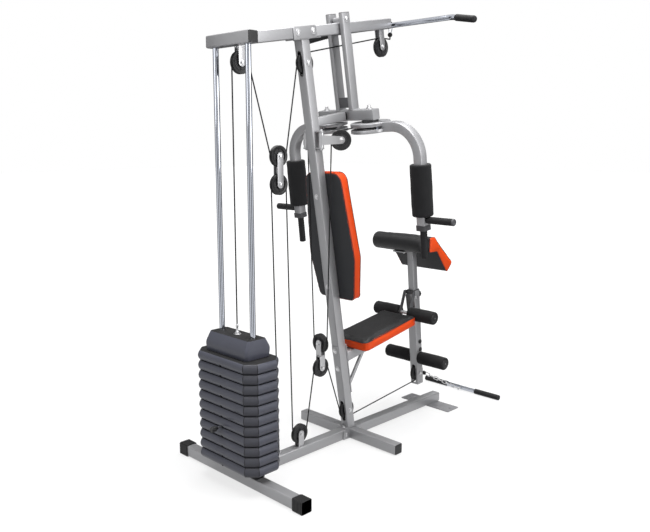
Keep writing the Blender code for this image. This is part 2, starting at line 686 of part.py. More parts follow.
def make_swivel(name, centre_x, side):
    pin, arm, wheel = swivel_place(centre_x, side)
    bracket = piece("swivel_bracket_" + name,
                    rod(pin - Vector((0, 0, BARREL_HALF)), pin + Vector((0, 0, BARREL_HALF)), BARREL_RADIUS + 0.003),
                    floor, "silver", origin=pin)
    long_pin = rod(pin - Vector((0, 0, BARREL_HALF + 0.012)), pin + Vector((0, 0, BARREL_HALF + 0.012)), SWIVEL_PIN, 8)
    across = arm.cross(Vector((0, 0, 1)))
    turn = Matrix((arm, across, Vector((0, 0, 1)))).transposed().to_4x4()
    shapes = [long_pin]
    for level in (-1, 1):
        start = pin + Vector((0, 0, level * (BARREL_HALF + 0.0063)))
        shapes.append(rod(start, start + Vector((0, 0, level * 0.006)), 0.008, 6))
    tip = STRAP_WIDTH / 2
    outline = [(0.0, -0.022), (SWIVEL_ARM, -tip)]
    for step in range(1, 4):
        angle = math.radians(-90 + 45 * step)
        outline.append((SWIVEL_ARM + tip * math.cos(angle), tip * math.sin(angle)))
    outline += [(SWIVEL_ARM, tip), (0.0, 0.022)]
    for face in (-1, 1):
        strap = side_plate(outline, face * (STRAP_OUTSIDE), face * (STRAP_INSIDE))
        strap.transform(Matrix.Translation(pin) @ turn)
        shapes.append(strap)
    web = block((0.0, -STRAP_INSIDE - 0.001, -0.020), (0.012, STRAP_INSIDE + 0.001, 0.020))
    web.transform(Matrix.Translation(pin) @ turn)
    shapes.append(web)
    for shape in axle_bolt((SWIVEL_ARM, 0, 0), STRAP_OUTSIDE):
        shape.transform(Matrix.Translation(pin) @ turn)
        shapes.append(shape)
    weld(bracket, *shapes)
    make_pulley("pulley_swivel_" + name, floor, wheel, across)


def strap_outline(x, z_low, z_high, width):
    """A strap with round ends between two axles."""
    points = []
    for centre, start in ((z_high, 0), (z_low, 180)):
        for step in range(5):
            angle = math.radians(start + 45 * step)
            points.append((x + width / 2 * math.cos(angle), centre + width / 2 * math.sin(angle)))
    return points


def make_floats():
    low = FLOAT_ONE.z - FLOAT_ONE_DROP
    outline = strap_outline(FLOAT_ONE.x, low, FLOAT_ONE.z, 0.036)
    frame_one = piece("float_one_frame", side_plate(outline, STRAP_INSIDE, STRAP_OUTSIDE), floor, "silver",
                      origin=FLOAT_ONE)
    weld(frame_one, *axle_bolt(FLOAT_ONE, STRAP_OUTSIDE), *axle_bolt((FLOAT_ONE.x, 0, low), STRAP_OUTSIDE),
         side_plate(outline, -STRAP_OUTSIDE, -STRAP_INSIDE))
    make_pulley("pulley_float_one_upper", floor, FLOAT_ONE, (0, 1, 0))
    make_pulley("pulley_float_one_lower", floor, (FLOAT_ONE.x, 0, low), (0, 1, 0))

    upper, lower = FLOAT_TWO, FLOAT_TWO - Vector((0, 0, FLOAT_TWO_DROP))
    middle = (upper.z + lower.z) / 2
    quarter = Matrix.Translation(upper) @ Matrix.Rotation(math.radians(90), 4, "Z") @ Matrix.Translation(-upper)
    wide = STRAP_WIDTH / 2
    base = block((upper.x - wide, -wide, middle - 0.0005), (upper.x + wide, wide, middle + 0.003))
    frame_two = piece("float_two_frame", base, floor, "silver", origin=FLOAT_TWO)
    shapes = [block((upper.x - wide, -wide, middle - 0.003), (upper.x + wide, wide, middle + 0.0005))]
    upper_plate = strap_outline(upper.x, middle + wide, upper.z, STRAP_WIDTH)
    lower_plate = strap_outline(upper.x, lower.z, middle - wide, STRAP_WIDTH)
    for face in (-1, 1):
        low_strap = side_plate(lower_plate, face * STRAP_INSIDE, face * STRAP_OUTSIDE)
        high_strap = side_plate(upper_plate, face * STRAP_INSIDE, face * STRAP_OUTSIDE)
        high_strap.transform(quarter)
        ys = sorted((face * STRAP_INSIDE, face * STRAP_OUTSIDE))
        low_heel = block((upper.x - wide, ys[0], middle - 0.020), (upper.x + wide, ys[1], middle - 0.0005))
        high_heel = block((upper.x + ys[0], -wide, middle + 0.0005), (upper.x + ys[1], wide, middle + 0.020))
        shapes += [low_strap, high_strap, low_heel, high_heel]
    cross_bolt = axle_bolt(upper, STRAP_OUTSIDE)
    for shape in cross_bolt:
        shape.transform(quarter)
    weld(frame_two, *shapes, *cross_bolt, *axle_bolt(lower, STRAP_OUTSIDE))
    make_pulley("pulley_float_two_upper", floor, upper, (1, 0, 0))
    make_pulley("pulley_float_two_lower", floor, lower, (0, 1, 0))


def make_fixed_pulleys():
    make_pulley("pulley_top_rear", floor, TOP_REAR_WHEEL, (0, 1, 0))
    make_pulley("pulley_base", floor, BASE_WHEEL, (0, 1, 0))
    make_pulley("pulley_upright_top", lean, (0, 0, TOP_SLOT_HEIGHT), (0, 1, 0))
    make_pulley("pulley_upright_low", lean, (0, 0, LOW_SLOT_HEIGHT), (0, 1, 0))
    make_pulley("pulley_top_front", lean, FRONT_WHEEL, (0, 1, 0))
    make_pulley("pulley_lever", post, (0, 0, LEVER_WHEEL), (0, 1, 0))


# Press frame and arms

def make_press():
    pivot = (PRESS_X, 0, PRESS_PIVOT)
    low = PRESS_BAR_HEIGHT + HALF - 0.0025
    bar_half = PRESS_BAR_SPAN / 2
    press = piece("press_frame",
                  square_tube((PRESS_X, -bar_half, PRESS_BAR_HEIGHT), (PRESS_X, bar_half, PRESS_BAR_HEIGHT), TUBE, TUBE),
                  lean, "silver", origin=pivot)
    for side in (-1, 1):
        y = side * STILE_PITCH / 2
        stile = square_tube((PRESS_X, y, low), (PRESS_X, y, PRESS_TOP), STILE[1], STILE[0], corner=0.004)
        outer = side * bar_half
        ys = sorted((outer - side * 0.0005, outer - side * 0.003))
        cover = block((PRESS_X - HALF + 0.001, ys[0], PRESS_BAR_HEIGHT - HALF + 0.001),
                      (PRESS_X + HALF - 0.001, ys[1], PRESS_BAR_HEIGHT + HALF - 0.001))
        weld(press, stile, cover)
    tie_y = STILE_PITCH / 2 - STILE[1] / 2 + 0.0005
    weld(press, block((PRESS_X - 0.020, -tie_y, low + 0.010), (PRESS_X - 0.016, tie_y, low + 0.062)))
    bolt_reach = STILE_PITCH / 2 + STILE[1] / 2
    weld(press, *axle_bolt(pivot, bolt_reach))
    for side in (-1, 1):
        y = side * ARM_PIVOT_Y
        cut(press, rod((PRESS_X, y, PRESS_BAR_HEIGHT - 0.04), (PRESS_X, y, PRESS_BAR_HEIGHT + 0.04), ARM_PIN + RUN))


def arm_path(side, steps=6):
    """The arm's centre line: out from the pivot, round the bend and down, raked back a little."""
    points = [Vector((PRESS_X, side * ARM_PIVOT_Y, ARM_HEIGHT))]
    bend_y = ARM_REACH - ARM_BEND
    bend_z = ARM_HEIGHT - ARM_BEND
    for step in range(steps + 1):
        angle = math.radians(90) * (1 - step / steps)
        z = bend_z + ARM_BEND * math.sin(angle)
        points.append(Vector((PRESS_X + 0.008 - ARM_RAKE * (ARM_HEIGHT - z),
                              side * (bend_y + ARM_BEND * math.cos(angle)), z)))
    points.append(Vector((PRESS_X + 0.008 - ARM_RAKE * (ARM_HEIGHT - ARM_END), side * ARM_REACH, ARM_END)))
    return points


def swept_square(points, size):
    """A square bar along a path that keeps its front and back faces upright."""
    rings = []
    across = Vector((1, 0, 0))
    for k, point in enumerate(points):
        before = points[max(k - 1, 0)]
        after = points[min(k + 1, len(points) - 1)]
        along = (after - before).normalized()
        outward = along.cross(across).normalized()
        h = size / 2
        rings.append([point + across * a + outward * b for a, b in ((-h, -h), (h, -h), (h, h), (-h, h))])
    return loft(rings)


def make_arm(name, side):
    path = arm_path(side)
    pivot = Vector((PRESS_X, side * ARM_PIVOT_Y, ARM_HEIGHT))
    half = ARM_TUBE / 2
    arm = piece("arm_" + name, swept_square(path, ARM_TUBE), lean, "silver", origin=pivot)
    inner_path = [path[0] + Vector((0, side * (CAM_RADIUS + 0.008), 0))] + path[1:-1]
    inner_path.append(path[-1] + Vector((0, 0, 0.004)))
    cut(arm, swept_square(inner_path, ARM_TUBE - 2 * WALL))
    vent_y = side * (ARM_REACH - ARM_BEND - 0.020)
    cut(arm, rod((PRESS_X, vent_y, ARM_HEIGHT - 0.05), (PRESS_X, vent_y, ARM_HEIGHT), 0.005, 8))
    for z in (ARM_HEIGHT - half, ARM_HEIGHT + CAM_SLOT / 2):
        weld(arm, rod((pivot.x, pivot.y, z), (pivot.x, pivot.y, z + half - CAM_SLOT / 2), CAM_RADIUS, 20))
    weld(arm, rod((pivot.x, pivot.y, ARM_HEIGHT - half + 0.001), (pivot.x, pivot.y, ARM_HEIGHT + half - 0.001),
                  CAM_GROOVE, 20))
    bar_low = PRESS_BAR_HEIGHT - HALF
    bar_high = PRESS_BAR_HEIGHT + HALF
    weld(arm, rod((pivot.x, pivot.y, ARM_HEIGHT + half - 0.001), (pivot.x, pivot.y, bar_low - GAP), 0.040, 20),
         rod((pivot.x, pivot.y, ARM_HEIGHT), (pivot.x, pivot.y, bar_high + 0.018), ARM_PIN),
         rod((pivot.x, pivot.y, bar_high + GAP), (pivot.x, pivot.y, bar_high + 0.011), 0.013, 6))
    foot = path[-1]
    end = Vector((foot.x - ARM_RAKE * (ARM_END - DOWN_HANDLE_END), foot.y, DOWN_HANDLE_END))
    collar = block((foot.x - half - 0.003, foot.y - half - 0.003, ARM_END - 0.013),
                   (foot.x + half + 0.003, foot.y + half + 0.003, ARM_END + 0.012))
    handle_x = PRESS_X + 0.008 - ARM_RAKE * (ARM_HEIGHT - SIDE_HANDLE_HEIGHT)
    side_handle = rod((handle_x, side * (ARM_REACH + half - 0.002), SIDE_HANDLE_HEIGHT),
                      (handle_x, side * SIDE_HANDLE_END, SIDE_HANDLE_HEIGHT), HANDLE_RADIUS)
    lug_y = sorted((pivot.y + side * 0.068, pivot.y + side * 0.080))
    lug = block((PRESS_X - half - 0.028, lug_y[0], ARM_HEIGHT - 0.008),
                (PRESS_X - half + 0.002, lug_y[1], ARM_HEIGHT + 0.008))
    weld(arm, collar, rod((foot.x, foot.y, ARM_END), end, HANDLE_RADIUS), side_handle, lug)

    def centre(height):
        return Vector((PRESS_X + 0.008 - ARM_RAKE * (ARM_HEIGHT - height), side * ARM_REACH, height))

    foam = piece("arm_foam_" + name, rod(centre(FOAM_BOTTOM), centre(FOAM_TOP), FOAM_RADIUS, 24), lean, "foam",
                 origin=pivot)
    cut(foam, swept_square([centre(FOAM_TOP + 0.02), centre(FOAM_BOTTOM - 0.02)], ARM_TUBE + 2 * GAP))


# Pads

def pad_solid(outline, thickness, crown, to_place):
    """A cushion: flat board side, sides that swell a little, soft edge and a crowned face.

    The outline is in two axes, and to_place turns (a, b, height) into the frame's coordinates.
    """
    middle_a = sum(a for a, _ in outline) / len(outline)
    middle_b = sum(b for _, b in outline) / len(outline)
    reach_a = max(abs(a - middle_a) for a, _ in outline)
    reach_b = max(abs(b - middle_b) for _, b in outline)
    levels = [(0.004, 0.0), (0.001, 0.004), (0.002, 0.5 * thickness), (0.0, thickness - 0.010),
              (0.002, thickness - 0.004), (0.007, thickness - 0.0005), (0.020, thickness + 0.35 * crown),
              (0.045, thickness + 0.75 * crown), (0.085, thickness + crown)]
    rings = []
    for inset, height in levels:
        scale_a = (reach_a - inset) / reach_a
        scale_b = (reach_b - inset) / reach_b
        rings.append([to_place(middle_a + (a - middle_a) * scale_a, middle_b + (b - middle_b) * scale_b, height)
                      for a, b in outline])
    return loft(rings)


def round_corners(corners, radii, steps=4):
    """A polygon whose corners are rounded by arcs."""
    points = []
    count = len(corners)
    for k, corner in enumerate(corners):
        here = Vector(corner)
        back = (Vector(corners[k - 1]) - here).normalized()
        ahead = (Vector(corners[(k + 1) % count]) - here).normalized()
        half_angle = back.angle(ahead) / 2
        reach = radii[k] / math.tan(half_angle)
        centre = here + (back + ahead).normalized() * (radii[k] / math.sin(half_angle))
        start = here + back * reach - centre
        sweep = math.pi - 2 * half_angle
        turn = 1 if back.x * ahead.y - back.y * ahead.x < 0 else -1
        for step in range(steps + 1):
            angle = turn * sweep * step / steps
            points.append((centre.x + start.x * math.cos(angle) - start.y * math.sin(angle),
                           centre.y + start.x * math.sin(angle) + start.y * math.cos(angle)))
    return points


def make_pads():
    half_end = BACK_PAD_ENDS / 2
    half_wide = BACK_PAD_WIDTH / 2
    corners = [(half_end, BACK_PAD_LOW), (half_wide, BACK_PAD_WAIST), (half_end, BACK_PAD_HIGH),
               (-half_end, BACK_PAD_HIGH), (-half_wide, BACK_PAD_WAIST), (-half_end, BACK_PAD_LOW)]
    outline = round_corners(corners, [0.022, 0.060, 0.034, 0.034, 0.060, 0.022])
    rest = HALF + GAP
    piece("back_pad", pad_solid(outline, PAD_THICKNESS, 0.006, lambda y, z, h: (rest + h, y, z)), lean, "vinyl")

    half_seat = SEAT_WIDTH / 2
    corners = [(SEAT_REAR, -half_seat), (SEAT_FRONT, -half_seat + 0.006), (SEAT_FRONT, half_seat - 0.006),
               (SEAT_REAR, half_seat)]
    outline = round_corners(corners, [0.026, 0.014, 0.014, 0.026], 5)
    seat_low = SEAT_BEAM_HEIGHT + HALF + GAP
    piece("seat_pad", pad_solid(outline, PAD_THICKNESS, 0.006, lambda x, y, h: (x, y, seat_low + h)), lean, "vinyl")

    board = CURL_PLATE_TOP + GAP
    rear = ROLL_X + ROLL_RADIUS + 0.006
    low = board - CURL_DROP
    tip = rear + CURL_REACH
    profile = [(rear, board), (rear + CURL_BOARD, board), (tip - 0.063, low + 0.014), (tip - 0.043, low),
               (tip - 0.027, low + 0.004), (tip - 0.001, low + 0.032), (tip, low + 0.044),
               (rear + 0.052, board + CURL_CROWN - 0.005), (rear + 0.040, board + CURL_CROWN),
               (rear + 0.006, board + CURL_CROWN), (rear, board + CURL_CROWN - 0.007)]
    middle = Vector((sum(x for x, _ in profile) / len(profile), sum(z for _, z in profile) / len(profile)))
    rings = []
    for y, inset in ((-1.0, 0.006), (-0.985, 0.002), (-0.96, 0.0), (-0.6, -0.0015), (0.0, -0.003), (0.6, -0.0015),
                     (0.96, 0.0), (0.985, 0.002), (1.0, 0.006)):
        ring = []
        for x, z in profile:
            away = (Vector((x, z)) - middle)
            shift = away.normalized() * (-inset)
            fixed = abs(z - board) < 0.001
            ring.append((x + shift.x, y * CURL_HALF, z if fixed else z + shift.y))
        rings.append(ring)
    piece("curl_pad", loft(rings), floor, "vinyl")

    roll_z = CURL_PLATE_TOP + GAP + ROLL_RADIUS
    soft = 0.006
    roll = piece("curl_roll", rod((ROLL_X, -ROLL_HALF, roll_z), (ROLL_X, ROLL_HALF, roll_z), ROLL_RADIUS, 20),
                 floor, "vinyl")
    edge = roll.modifiers.new("Soft ends", "BEVEL")
    edge.width = soft
    edge.segments = 2
    edge.limit_method = "ANGLE"
    edge.angle_limit = math.radians(50)


# Seat beam and front post

def make_seat_beam():
    z = SEAT_BEAM_HEIGHT
    beam = piece("seat_beam", square_tube((HALF + GAP + FLANGE - 0.001, 0, z), (SEAT_BEAM_FRONT, 0, z), TUBE, TUBE),
                 lean, "silver")
    flange = block((HALF + GAP, -HALF, SEAT_FLANGE[0]), (HALF + GAP + FLANGE, HALF, SEAT_FLANGE[1]))
    brace = rod((HALF + GAP + 0.009, 0, BRACE_FOOT), (BRACE_HEAD, 0, z - HALF + 0.004), 0.010, 8)
    boss_x = (lean.rotation_euler.to_matrix().inverted() @ (post_to_floor(FORK_FOOT) - lean.location))
    boss_end = HALF + GAP + FORK_PLATE
    boss = rod((boss_x.x, -boss_end, boss_x.z), (boss_x.x, boss_end, boss_x.z), 0.011, 12)
    weld(beam, flange, brace, boss)


def make_front_post():
    side_face = HALF + GAP
    post_sleeve = piece("front_post", square_tube((0, 0, SLEEVE_LOW), (0, 0, SLEEVE_HIGH), TUBE, TUBE,
                                                  wall=(TUBE - CURL_TUBE) / 2 - 0.0004), post, "silver")
    for side in (-1, 1):
        x, _, z = LEVER_PIVOT
        weld(post_sleeve, rod((x, side * (HALF - 0.003), z), (x, side * (side_face + FORK_PLATE + 0.004), z), 0.006),
             rod((x, side * (side_face + FORK_PLATE + GAP), z), (x, side * (side_face + FORK_PLATE + 0.006), z),
                 BOLT_HEAD, 6))
    cut(post_sleeve, rod((0.005, 0, KNOB_HEIGHT), (0.05, 0, KNOB_HEIGHT), 0.004 + RUN, 12))

    inner = side_face + FORK_PLATE + GAP
    outer = inner + FORK_PLATE
    away = (FORK_HEAD - FORK_FOOT).normalized()
    across = Vector((away.z, 0, -away.x)) * 0.011
    low = FORK_FOOT - away * 0.013
    leg = [(p.x, p.z) for p in (low - across, low + across, FORK_HEAD + across, FORK_HEAD + away * 0.012 + across * 0.4,
                                FORK_HEAD + away * 0.012 - across * 0.8, FORK_HEAD - across)]
    fork = piece("post_fork", side_plate(leg, inner, outer), post, "black_steel")
    bend = block((-HALF - GAP - 0.005, -outer, 0.026), (-HALF - GAP, outer, 0.0465))
    axle = rod((FORK_AXLE.x, -ROLLER_END - 0.004, FORK_AXLE.z), (FORK_AXLE.x, ROLLER_END + 0.004, FORK_AXLE.z),
               ROLLER_AXLE)
    weld(fork, bend, side_plate(leg, -outer, -inner), axle)
    for name, side in (("left", 1), ("right", -1)):
        roller = piece("upper_roller_" + name,
                       rod((FORK_AXLE.x, side * (outer + 0.001), FORK_AXLE.z),
                           (FORK_AXLE.x, side * ROLLER_END, FORK_AXLE.z), ROLLER_RADIUS, 20), post, "foam")
        cut(roller, rod((FORK_AXLE.x, 0, FORK_AXLE.z), (FORK_AXLE.x, side * 0.3, FORK_AXLE.z), ROLLER_AXLE + GAP))

    top = (CURL_PLATE_TOP - CURL_PLATE / 2 - POST_Z) / math.cos(POST_LEAN)
    curl = piece("curl_post", square_tube((0, 0, SLEEVE_LOW + 0.005), (0, 0, top), CURL_TUBE, CURL_TUBE,
                                          wall=0.002, corner=0.003), post, "silver")
    plate = block((ROLL_X - 0.020, -0.040, CURL_PLATE_TOP - CURL_PLATE),
                  (ROLL_X + ROLL_RADIUS + CURL_BOARD - 0.002, 0.040, CURL_PLATE_TOP))
    weld(curl, plate, frame=floor)
    for k in range(3):
        z = KNOB_HEIGHT - 0.030 * k
        cut(curl, rod((0.010, 0, z), (0.03, 0, z), 0.004 + RUN, 12))
    knob = piece("curl_knob", rod((HALF + GAP, 0, KNOB_HEIGHT), (HALF + KNOB_LENGTH, 0, KNOB_HEIGHT), KNOB_RADIUS, 16),
                 post, "black_plastic", origin=(HALF + GAP, 0, KNOB_HEIGHT))
    weld(knob, rod((CURL_TUBE / 2 + GAP, 0, KNOB_HEIGHT), (HALF + 0.005, 0, KNOB_HEIGHT), 0.004, 12))


def make_lever():
    width = TUBE + 2 * GAP + 0.0006
    lever = piece("leg_lever", square_tube((0, 0, LEVER_END), (0, 0, LEVER_TOP), width, TUBE), post, "silver",
                  origin=LEVER_PIVOT)
    x, _, z = LEVER_PIVOT
    head = []
    for step in range(7):
        angle = math.radians(30 * step)
        head.append((x + 0.014 * math.cos(angle), z + 0.014 * math.sin(angle)))
    outline = head + [(-HALF + 0.001, LEVER_TOP), (-HALF + 0.004, LEVER_TOP - 0.045), (HALF - 0.004, LEVER_TOP - 0.045),
                      (HALF - 0.002, LEVER_TOP)]
    inside = HALF + GAP
    for side in (-1, 1):
        weld(lever, side_plate(outline, side * inside, side * (inside + FORK_PLATE)))
    cut(lever, rod((x, -0.05, z), (x, 0.05, z), 0.006 + RUN),
        block((-0.06, -SLOT_WIDTH / 2, LEVER_WHEEL - LEVER_SLOT_HALF),
              (0.06, SLOT_WIDTH / 2, LEVER_WHEEL + LEVER_SLOT_HALF)))
    for height in LEVER_HOLES:
        cut(lever, rod((0.008, -0.05, height), (0.008, 0.05, height), LEVER_HOLE_RADIUS, 12))
    weld(lever, rod((0, -ROLLER_END - 0.004, LOWER_AXLE), (0, ROLLER_END + 0.004, LOWER_AXLE), ROLLER_AXLE),
         *axle_bolt((0, 0, LEVER_WHEEL), width / 2))
    for name, side in (("left", 1), ("right", -1)):
        roller = piece("lower_roller_" + name,
                       rod((0, side * (width / 2 + 0.001), LOWER_AXLE), (0, side * ROLLER_END, LOWER_AXLE),
                           ROLLER_RADIUS, 20), post, "foam", origin=LEVER_PIVOT)
        cut(roller, rod((0, 0, LOWER_AXLE), (0, side * 0.3, LOWER_AXLE), ROLLER_AXLE + GAP))


# Bars, chain and stops

def make_lat_bar():
    bar_points = []
    for side in (-1, 1):
        arc = []
        for step in range(5):
            t = step / 4
            y = LAT_STRAIGHT + 0.030 * t
            arc.append(LAT_BAR + LAT_SWEEP * (0.5 * t * t * 0.030 / (LAT_END - LAT_STRAIGHT)) + Vector((0, side * y, 0)))
        arc.append(LAT_BAR + LAT_SWEEP + Vector((0, side * LAT_END, 0)))
        bar_points = bar_points + arc if side > 0 else arc[::-1]
    bar = piece("lat_bar", wire(bar_points, BAR_RADIUS, 3), floor, "chrome", origin=LAT_BAR)
    for side in (-1, 1):
        tip = bar_points[-1 if side > 0 else 0]
        bend = bar_points[-2 if side > 0 else 1]
        along = (tip - bend).normalized()
        start = bend + along * (LAT_GRIP_FROM - abs(bend.y))
        weld(bar, rod(start, tip + along * 0.002, GRIP_RADIUS, 14))
    weld(bar, rod(LAT_BAR, LAT_STOP, 0.004, 10), ball(LAT_STOP, STOP_RADIUS))


def make_low_row():
    z = GRIP_RADIUS
    bar = piece("low_bar", rod((LOW_BAR_X, -LOW_BAR_HALF + 0.003, z), (LOW_BAR_X, LOW_BAR_HALF - 0.003, z),
                               BAR_RADIUS, 16), floor, "chrome", origin=LOW_STOP)
    for side in (-1, 1):
        weld(bar, rod((LOW_BAR_X, side * LOW_GRIP_FROM, z), (LOW_BAR_X, side * LOW_BAR_HALF, z), GRIP_RADIUS, 16))
    eye = rod((LOW_BAR_X - BAR_RADIUS - 0.016, 0, z), (LOW_BAR_X, 0, z), 0.005, 10)
    weld(bar, eye)

    piece("low_stop", ball(LOW_STOP, LOW_STOP_RADIUS), floor, "black_plastic", origin=LOW_STOP)

    start = LOW_STOP + Vector((LOW_STOP_RADIUS + 0.003, 0, -0.006))
    end = Vector((LOW_BAR_X - BAR_RADIUS - 0.020, 0, z + 0.002))
    run = end - start
    count = round(run.length / LINK_PITCH)
    along = run.normalized()
    flat = Vector((0, 1, 0))
    normal = along.cross(flat)
    chain = None
    for k in range(count):
        centre = start + run * ((k + 0.5) / count)
        wide = flat if k % 2 else normal
        reach = run.length / count / 2 + LINK_WIRE / 2
        ring = []
        for step in range(8):
            angle = math.radians(45 * step)
            ring.append(centre + along * reach * math.cos(angle) + wide * LINK_HALF_WIDTH * math.sin(angle))
        link = link_mesh(ring, LINK_WIRE)
        if chain is None:
            chain = piece("low_chain", link, floor, "zinc", origin=LOW_STOP)
        else:
            weld(chain, link)


def link_mesh(ring, radius):
    """One chain link: a closed wire through the ring's points."""
    curve = bpy.data.curves.new("link", "CURVE")
    curve.dimensions = "3D"
    curve.bevel_depth = radius
    curve.bevel_resolution = 0
    spline = curve.splines.new("POLY")
    spline.points.add(len(ring) - 1)
    for point, place in zip(spline.points, ring):
        point.co = (*place, 1)
    spline.use_cyclic_u = True
    return mesh_of_curve(curve)


# Cables

def tangent_run(stations):
    """Points of a taut cable round wheels that lie in the mid-plane.

    Each station is (x, z, radius, turn); turn is 1 where the cable goes anticlockwise and -1 where it goes
    clockwise, seen with x to the right. The ends are stations of no radius.
    """
    legs = []
    for (ax, az, ar, at), (bx, bz, br, bt) in zip(stations, stations[1:]):
        gap = Vector((bx - ax, bz - az))
        bend = math.asin((at * ar - bt * br) / gap.length)
        angle = math.atan2(gap.y, gap.x) + bend
        left = Vector((-math.sin(angle), math.cos(angle)))
        legs.append((Vector((ax, az)) - left * at * ar, Vector((bx, bz)) - left * bt * br, angle))
    points = [legs[0][0]]
    for (_, arrive, angle_in), (leave, _, angle_out), station in zip(legs, legs[1:], stations[1:]):
        x, z, radius, turn = station
        sweep = ((angle_out - angle_in) * turn) % (2 * math.pi)
        count = max(1, math.ceil(sweep / ARC_STEP))
        for step in range(count + 1):
            angle = angle_in + turn * sweep * step / count
            points.append(Vector((x + turn * radius * math.sin(angle), z - turn * radius * math.cos(angle))))
    points.append(legs[-1][1])
    return [Vector((p.x, 0, p.y)) for p in points]


def station(point, turn):
    return (point[0], point[2], WRAP, turn)


def make_cables(centre_x, cap_top):
    top_wheel = lean_to_floor((0, 0, TOP_SLOT_HEIGHT))
    low_wheel = lean_to_floor((0, 0, LOW_SLOT_HEIGHT))
    front_wheel = lean_to_floor(FRONT_WHEEL)
    lever_wheel = post_to_floor((0, 0, LEVER_WHEEL))
    float_low = FLOAT_ONE - Vector((0, 0, FLOAT_ONE_DROP))
    float_two_low = FLOAT_TWO - Vector((0, 0, FLOAT_TWO_DROP))

    lat_end = LAT_STOP - Vector((0, 0, STOP_RADIUS + GAP))
    lat_points = tangent_run([(0, cap_top + STEM_EYE + GAP, 0, 1), station(TOP_REAR_WHEEL, -1), station(FLOAT_ONE, 1),
                              station(top_wheel, -1), station(front_wheel, -1),
                              (lat_end.x, lat_end.z - LAT_LEAD, 0, 1)])
    lat_points.append(lat_end)
    piece("lat_cable", wire(lat_points, CABLE_RADIUS), floor, "cable")

    leg_points = tangent_run([(ANCHOR_X, FLOOR_LIFT + TUBE + 0.018 + GAP, 0, 1), station(float_low, -1),
                              station(BASE_WHEEL, 1), station(float_two_low, -1), station(low_wheel, 1),
                              station(lever_wheel, 1), (LOW_STOP.x, LOW_STOP.z, 0, 1)])
    last_run = leg_points[-1] - leg_points[-2]
    leg_points[-1] -= last_run.normalized() * (LOW_STOP_RADIUS + GAP)
    piece("leg_cable", wire(leg_points, CABLE_RADIUS), floor, "cable")

    right_half = []
    pin, arm, wheel = swivel_place(centre_x, -1)
    half = ARM_TUBE / 2
    lug = lean_to_floor((PRESS_X - half - 0.020, -ARM_PIVOT_Y - 0.068 + GAP, ARM_HEIGHT))
    right_half += [lug, lug + Vector((0, 3 * CABLE_RADIUS, 0))]
    for step in range(6):
        angle = math.radians(90 + 18 * step)
        right_half.append(wheel + arm * (WRAP * math.cos(angle)) + Vector((0, 0, WRAP * math.sin(angle))))
    for step in range(6):
        angle = math.radians(180 + 18 * step)
        right_half.append(FLOAT_TWO + Vector((0, WRAP * math.cos(angle), WRAP * math.sin(angle))))
    left_half = [Vector((p.x, -p.y, p.z)) for p in right_half[:-1]]
    piece("press_cable", wire(right_half + left_half[::-1], CABLE_RADIUS), floor, "cable")


make_base()
swivel_x = make_upright()
make_top_beams()
stack_high = make_stack()
make_fixed_pulleys()
make_floats()
make_press()
make_seat_beam()
make_front_post()
make_lever()
make_pads()
for side_name, side_sign in (("left", 1), ("right", -1)):
    make_arm(side_name, side_sign)
    make_swivel(side_name, swivel_x, side_sign)
make_lat_bar()
make_low_row()
make_cables(swivel_x, stack_high)
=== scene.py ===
# %% [markdown]
# # A multi gym with one weight stack
#
# The machine is a bench with a weight stack behind it. A leaning upright carries a beam with pulleys at both ends, a
# press frame with two padded arms, a back pad and a seat. At the front stand a curl pad and a leg lever with foam
# rollers. The imported model gives the frame: every piece below sits where a solid of that model sits, and rides on
# the same body, so that it moves with it.
#
# Most pieces here are drawn again with finer outlines, because the imported model is made for collision and joints.
# The imported model is loaded first.

# %% Load the imported model
import math

import bmesh
import bpy
from mathutils import Matrix, Vector
from mathutils.bvhtree import BVHTree


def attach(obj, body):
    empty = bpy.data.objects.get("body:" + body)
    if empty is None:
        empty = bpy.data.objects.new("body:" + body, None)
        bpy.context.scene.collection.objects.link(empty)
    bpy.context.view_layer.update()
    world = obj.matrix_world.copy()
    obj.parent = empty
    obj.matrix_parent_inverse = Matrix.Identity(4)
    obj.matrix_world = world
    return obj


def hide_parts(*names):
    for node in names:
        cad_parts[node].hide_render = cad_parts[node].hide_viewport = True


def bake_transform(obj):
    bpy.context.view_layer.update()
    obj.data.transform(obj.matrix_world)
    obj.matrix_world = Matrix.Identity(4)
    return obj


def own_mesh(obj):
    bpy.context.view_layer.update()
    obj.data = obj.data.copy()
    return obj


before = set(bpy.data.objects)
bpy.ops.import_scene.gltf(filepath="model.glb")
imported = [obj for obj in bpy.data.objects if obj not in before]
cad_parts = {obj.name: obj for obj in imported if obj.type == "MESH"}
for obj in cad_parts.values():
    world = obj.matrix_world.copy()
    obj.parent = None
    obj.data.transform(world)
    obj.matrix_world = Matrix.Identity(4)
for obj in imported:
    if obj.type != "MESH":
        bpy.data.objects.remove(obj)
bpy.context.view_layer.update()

# %% [markdown]
# ## Three places to draw in
#
# The main upright leans back, and the front post leans too. A tube is easiest to draw straight up, so there are three
# places to draw in: the floor, the upright and the post. In each, x points to the front of the machine, y to its left
# and z up (or up along the tube). A piece is drawn in one of them and then carried to the world by its matrix.

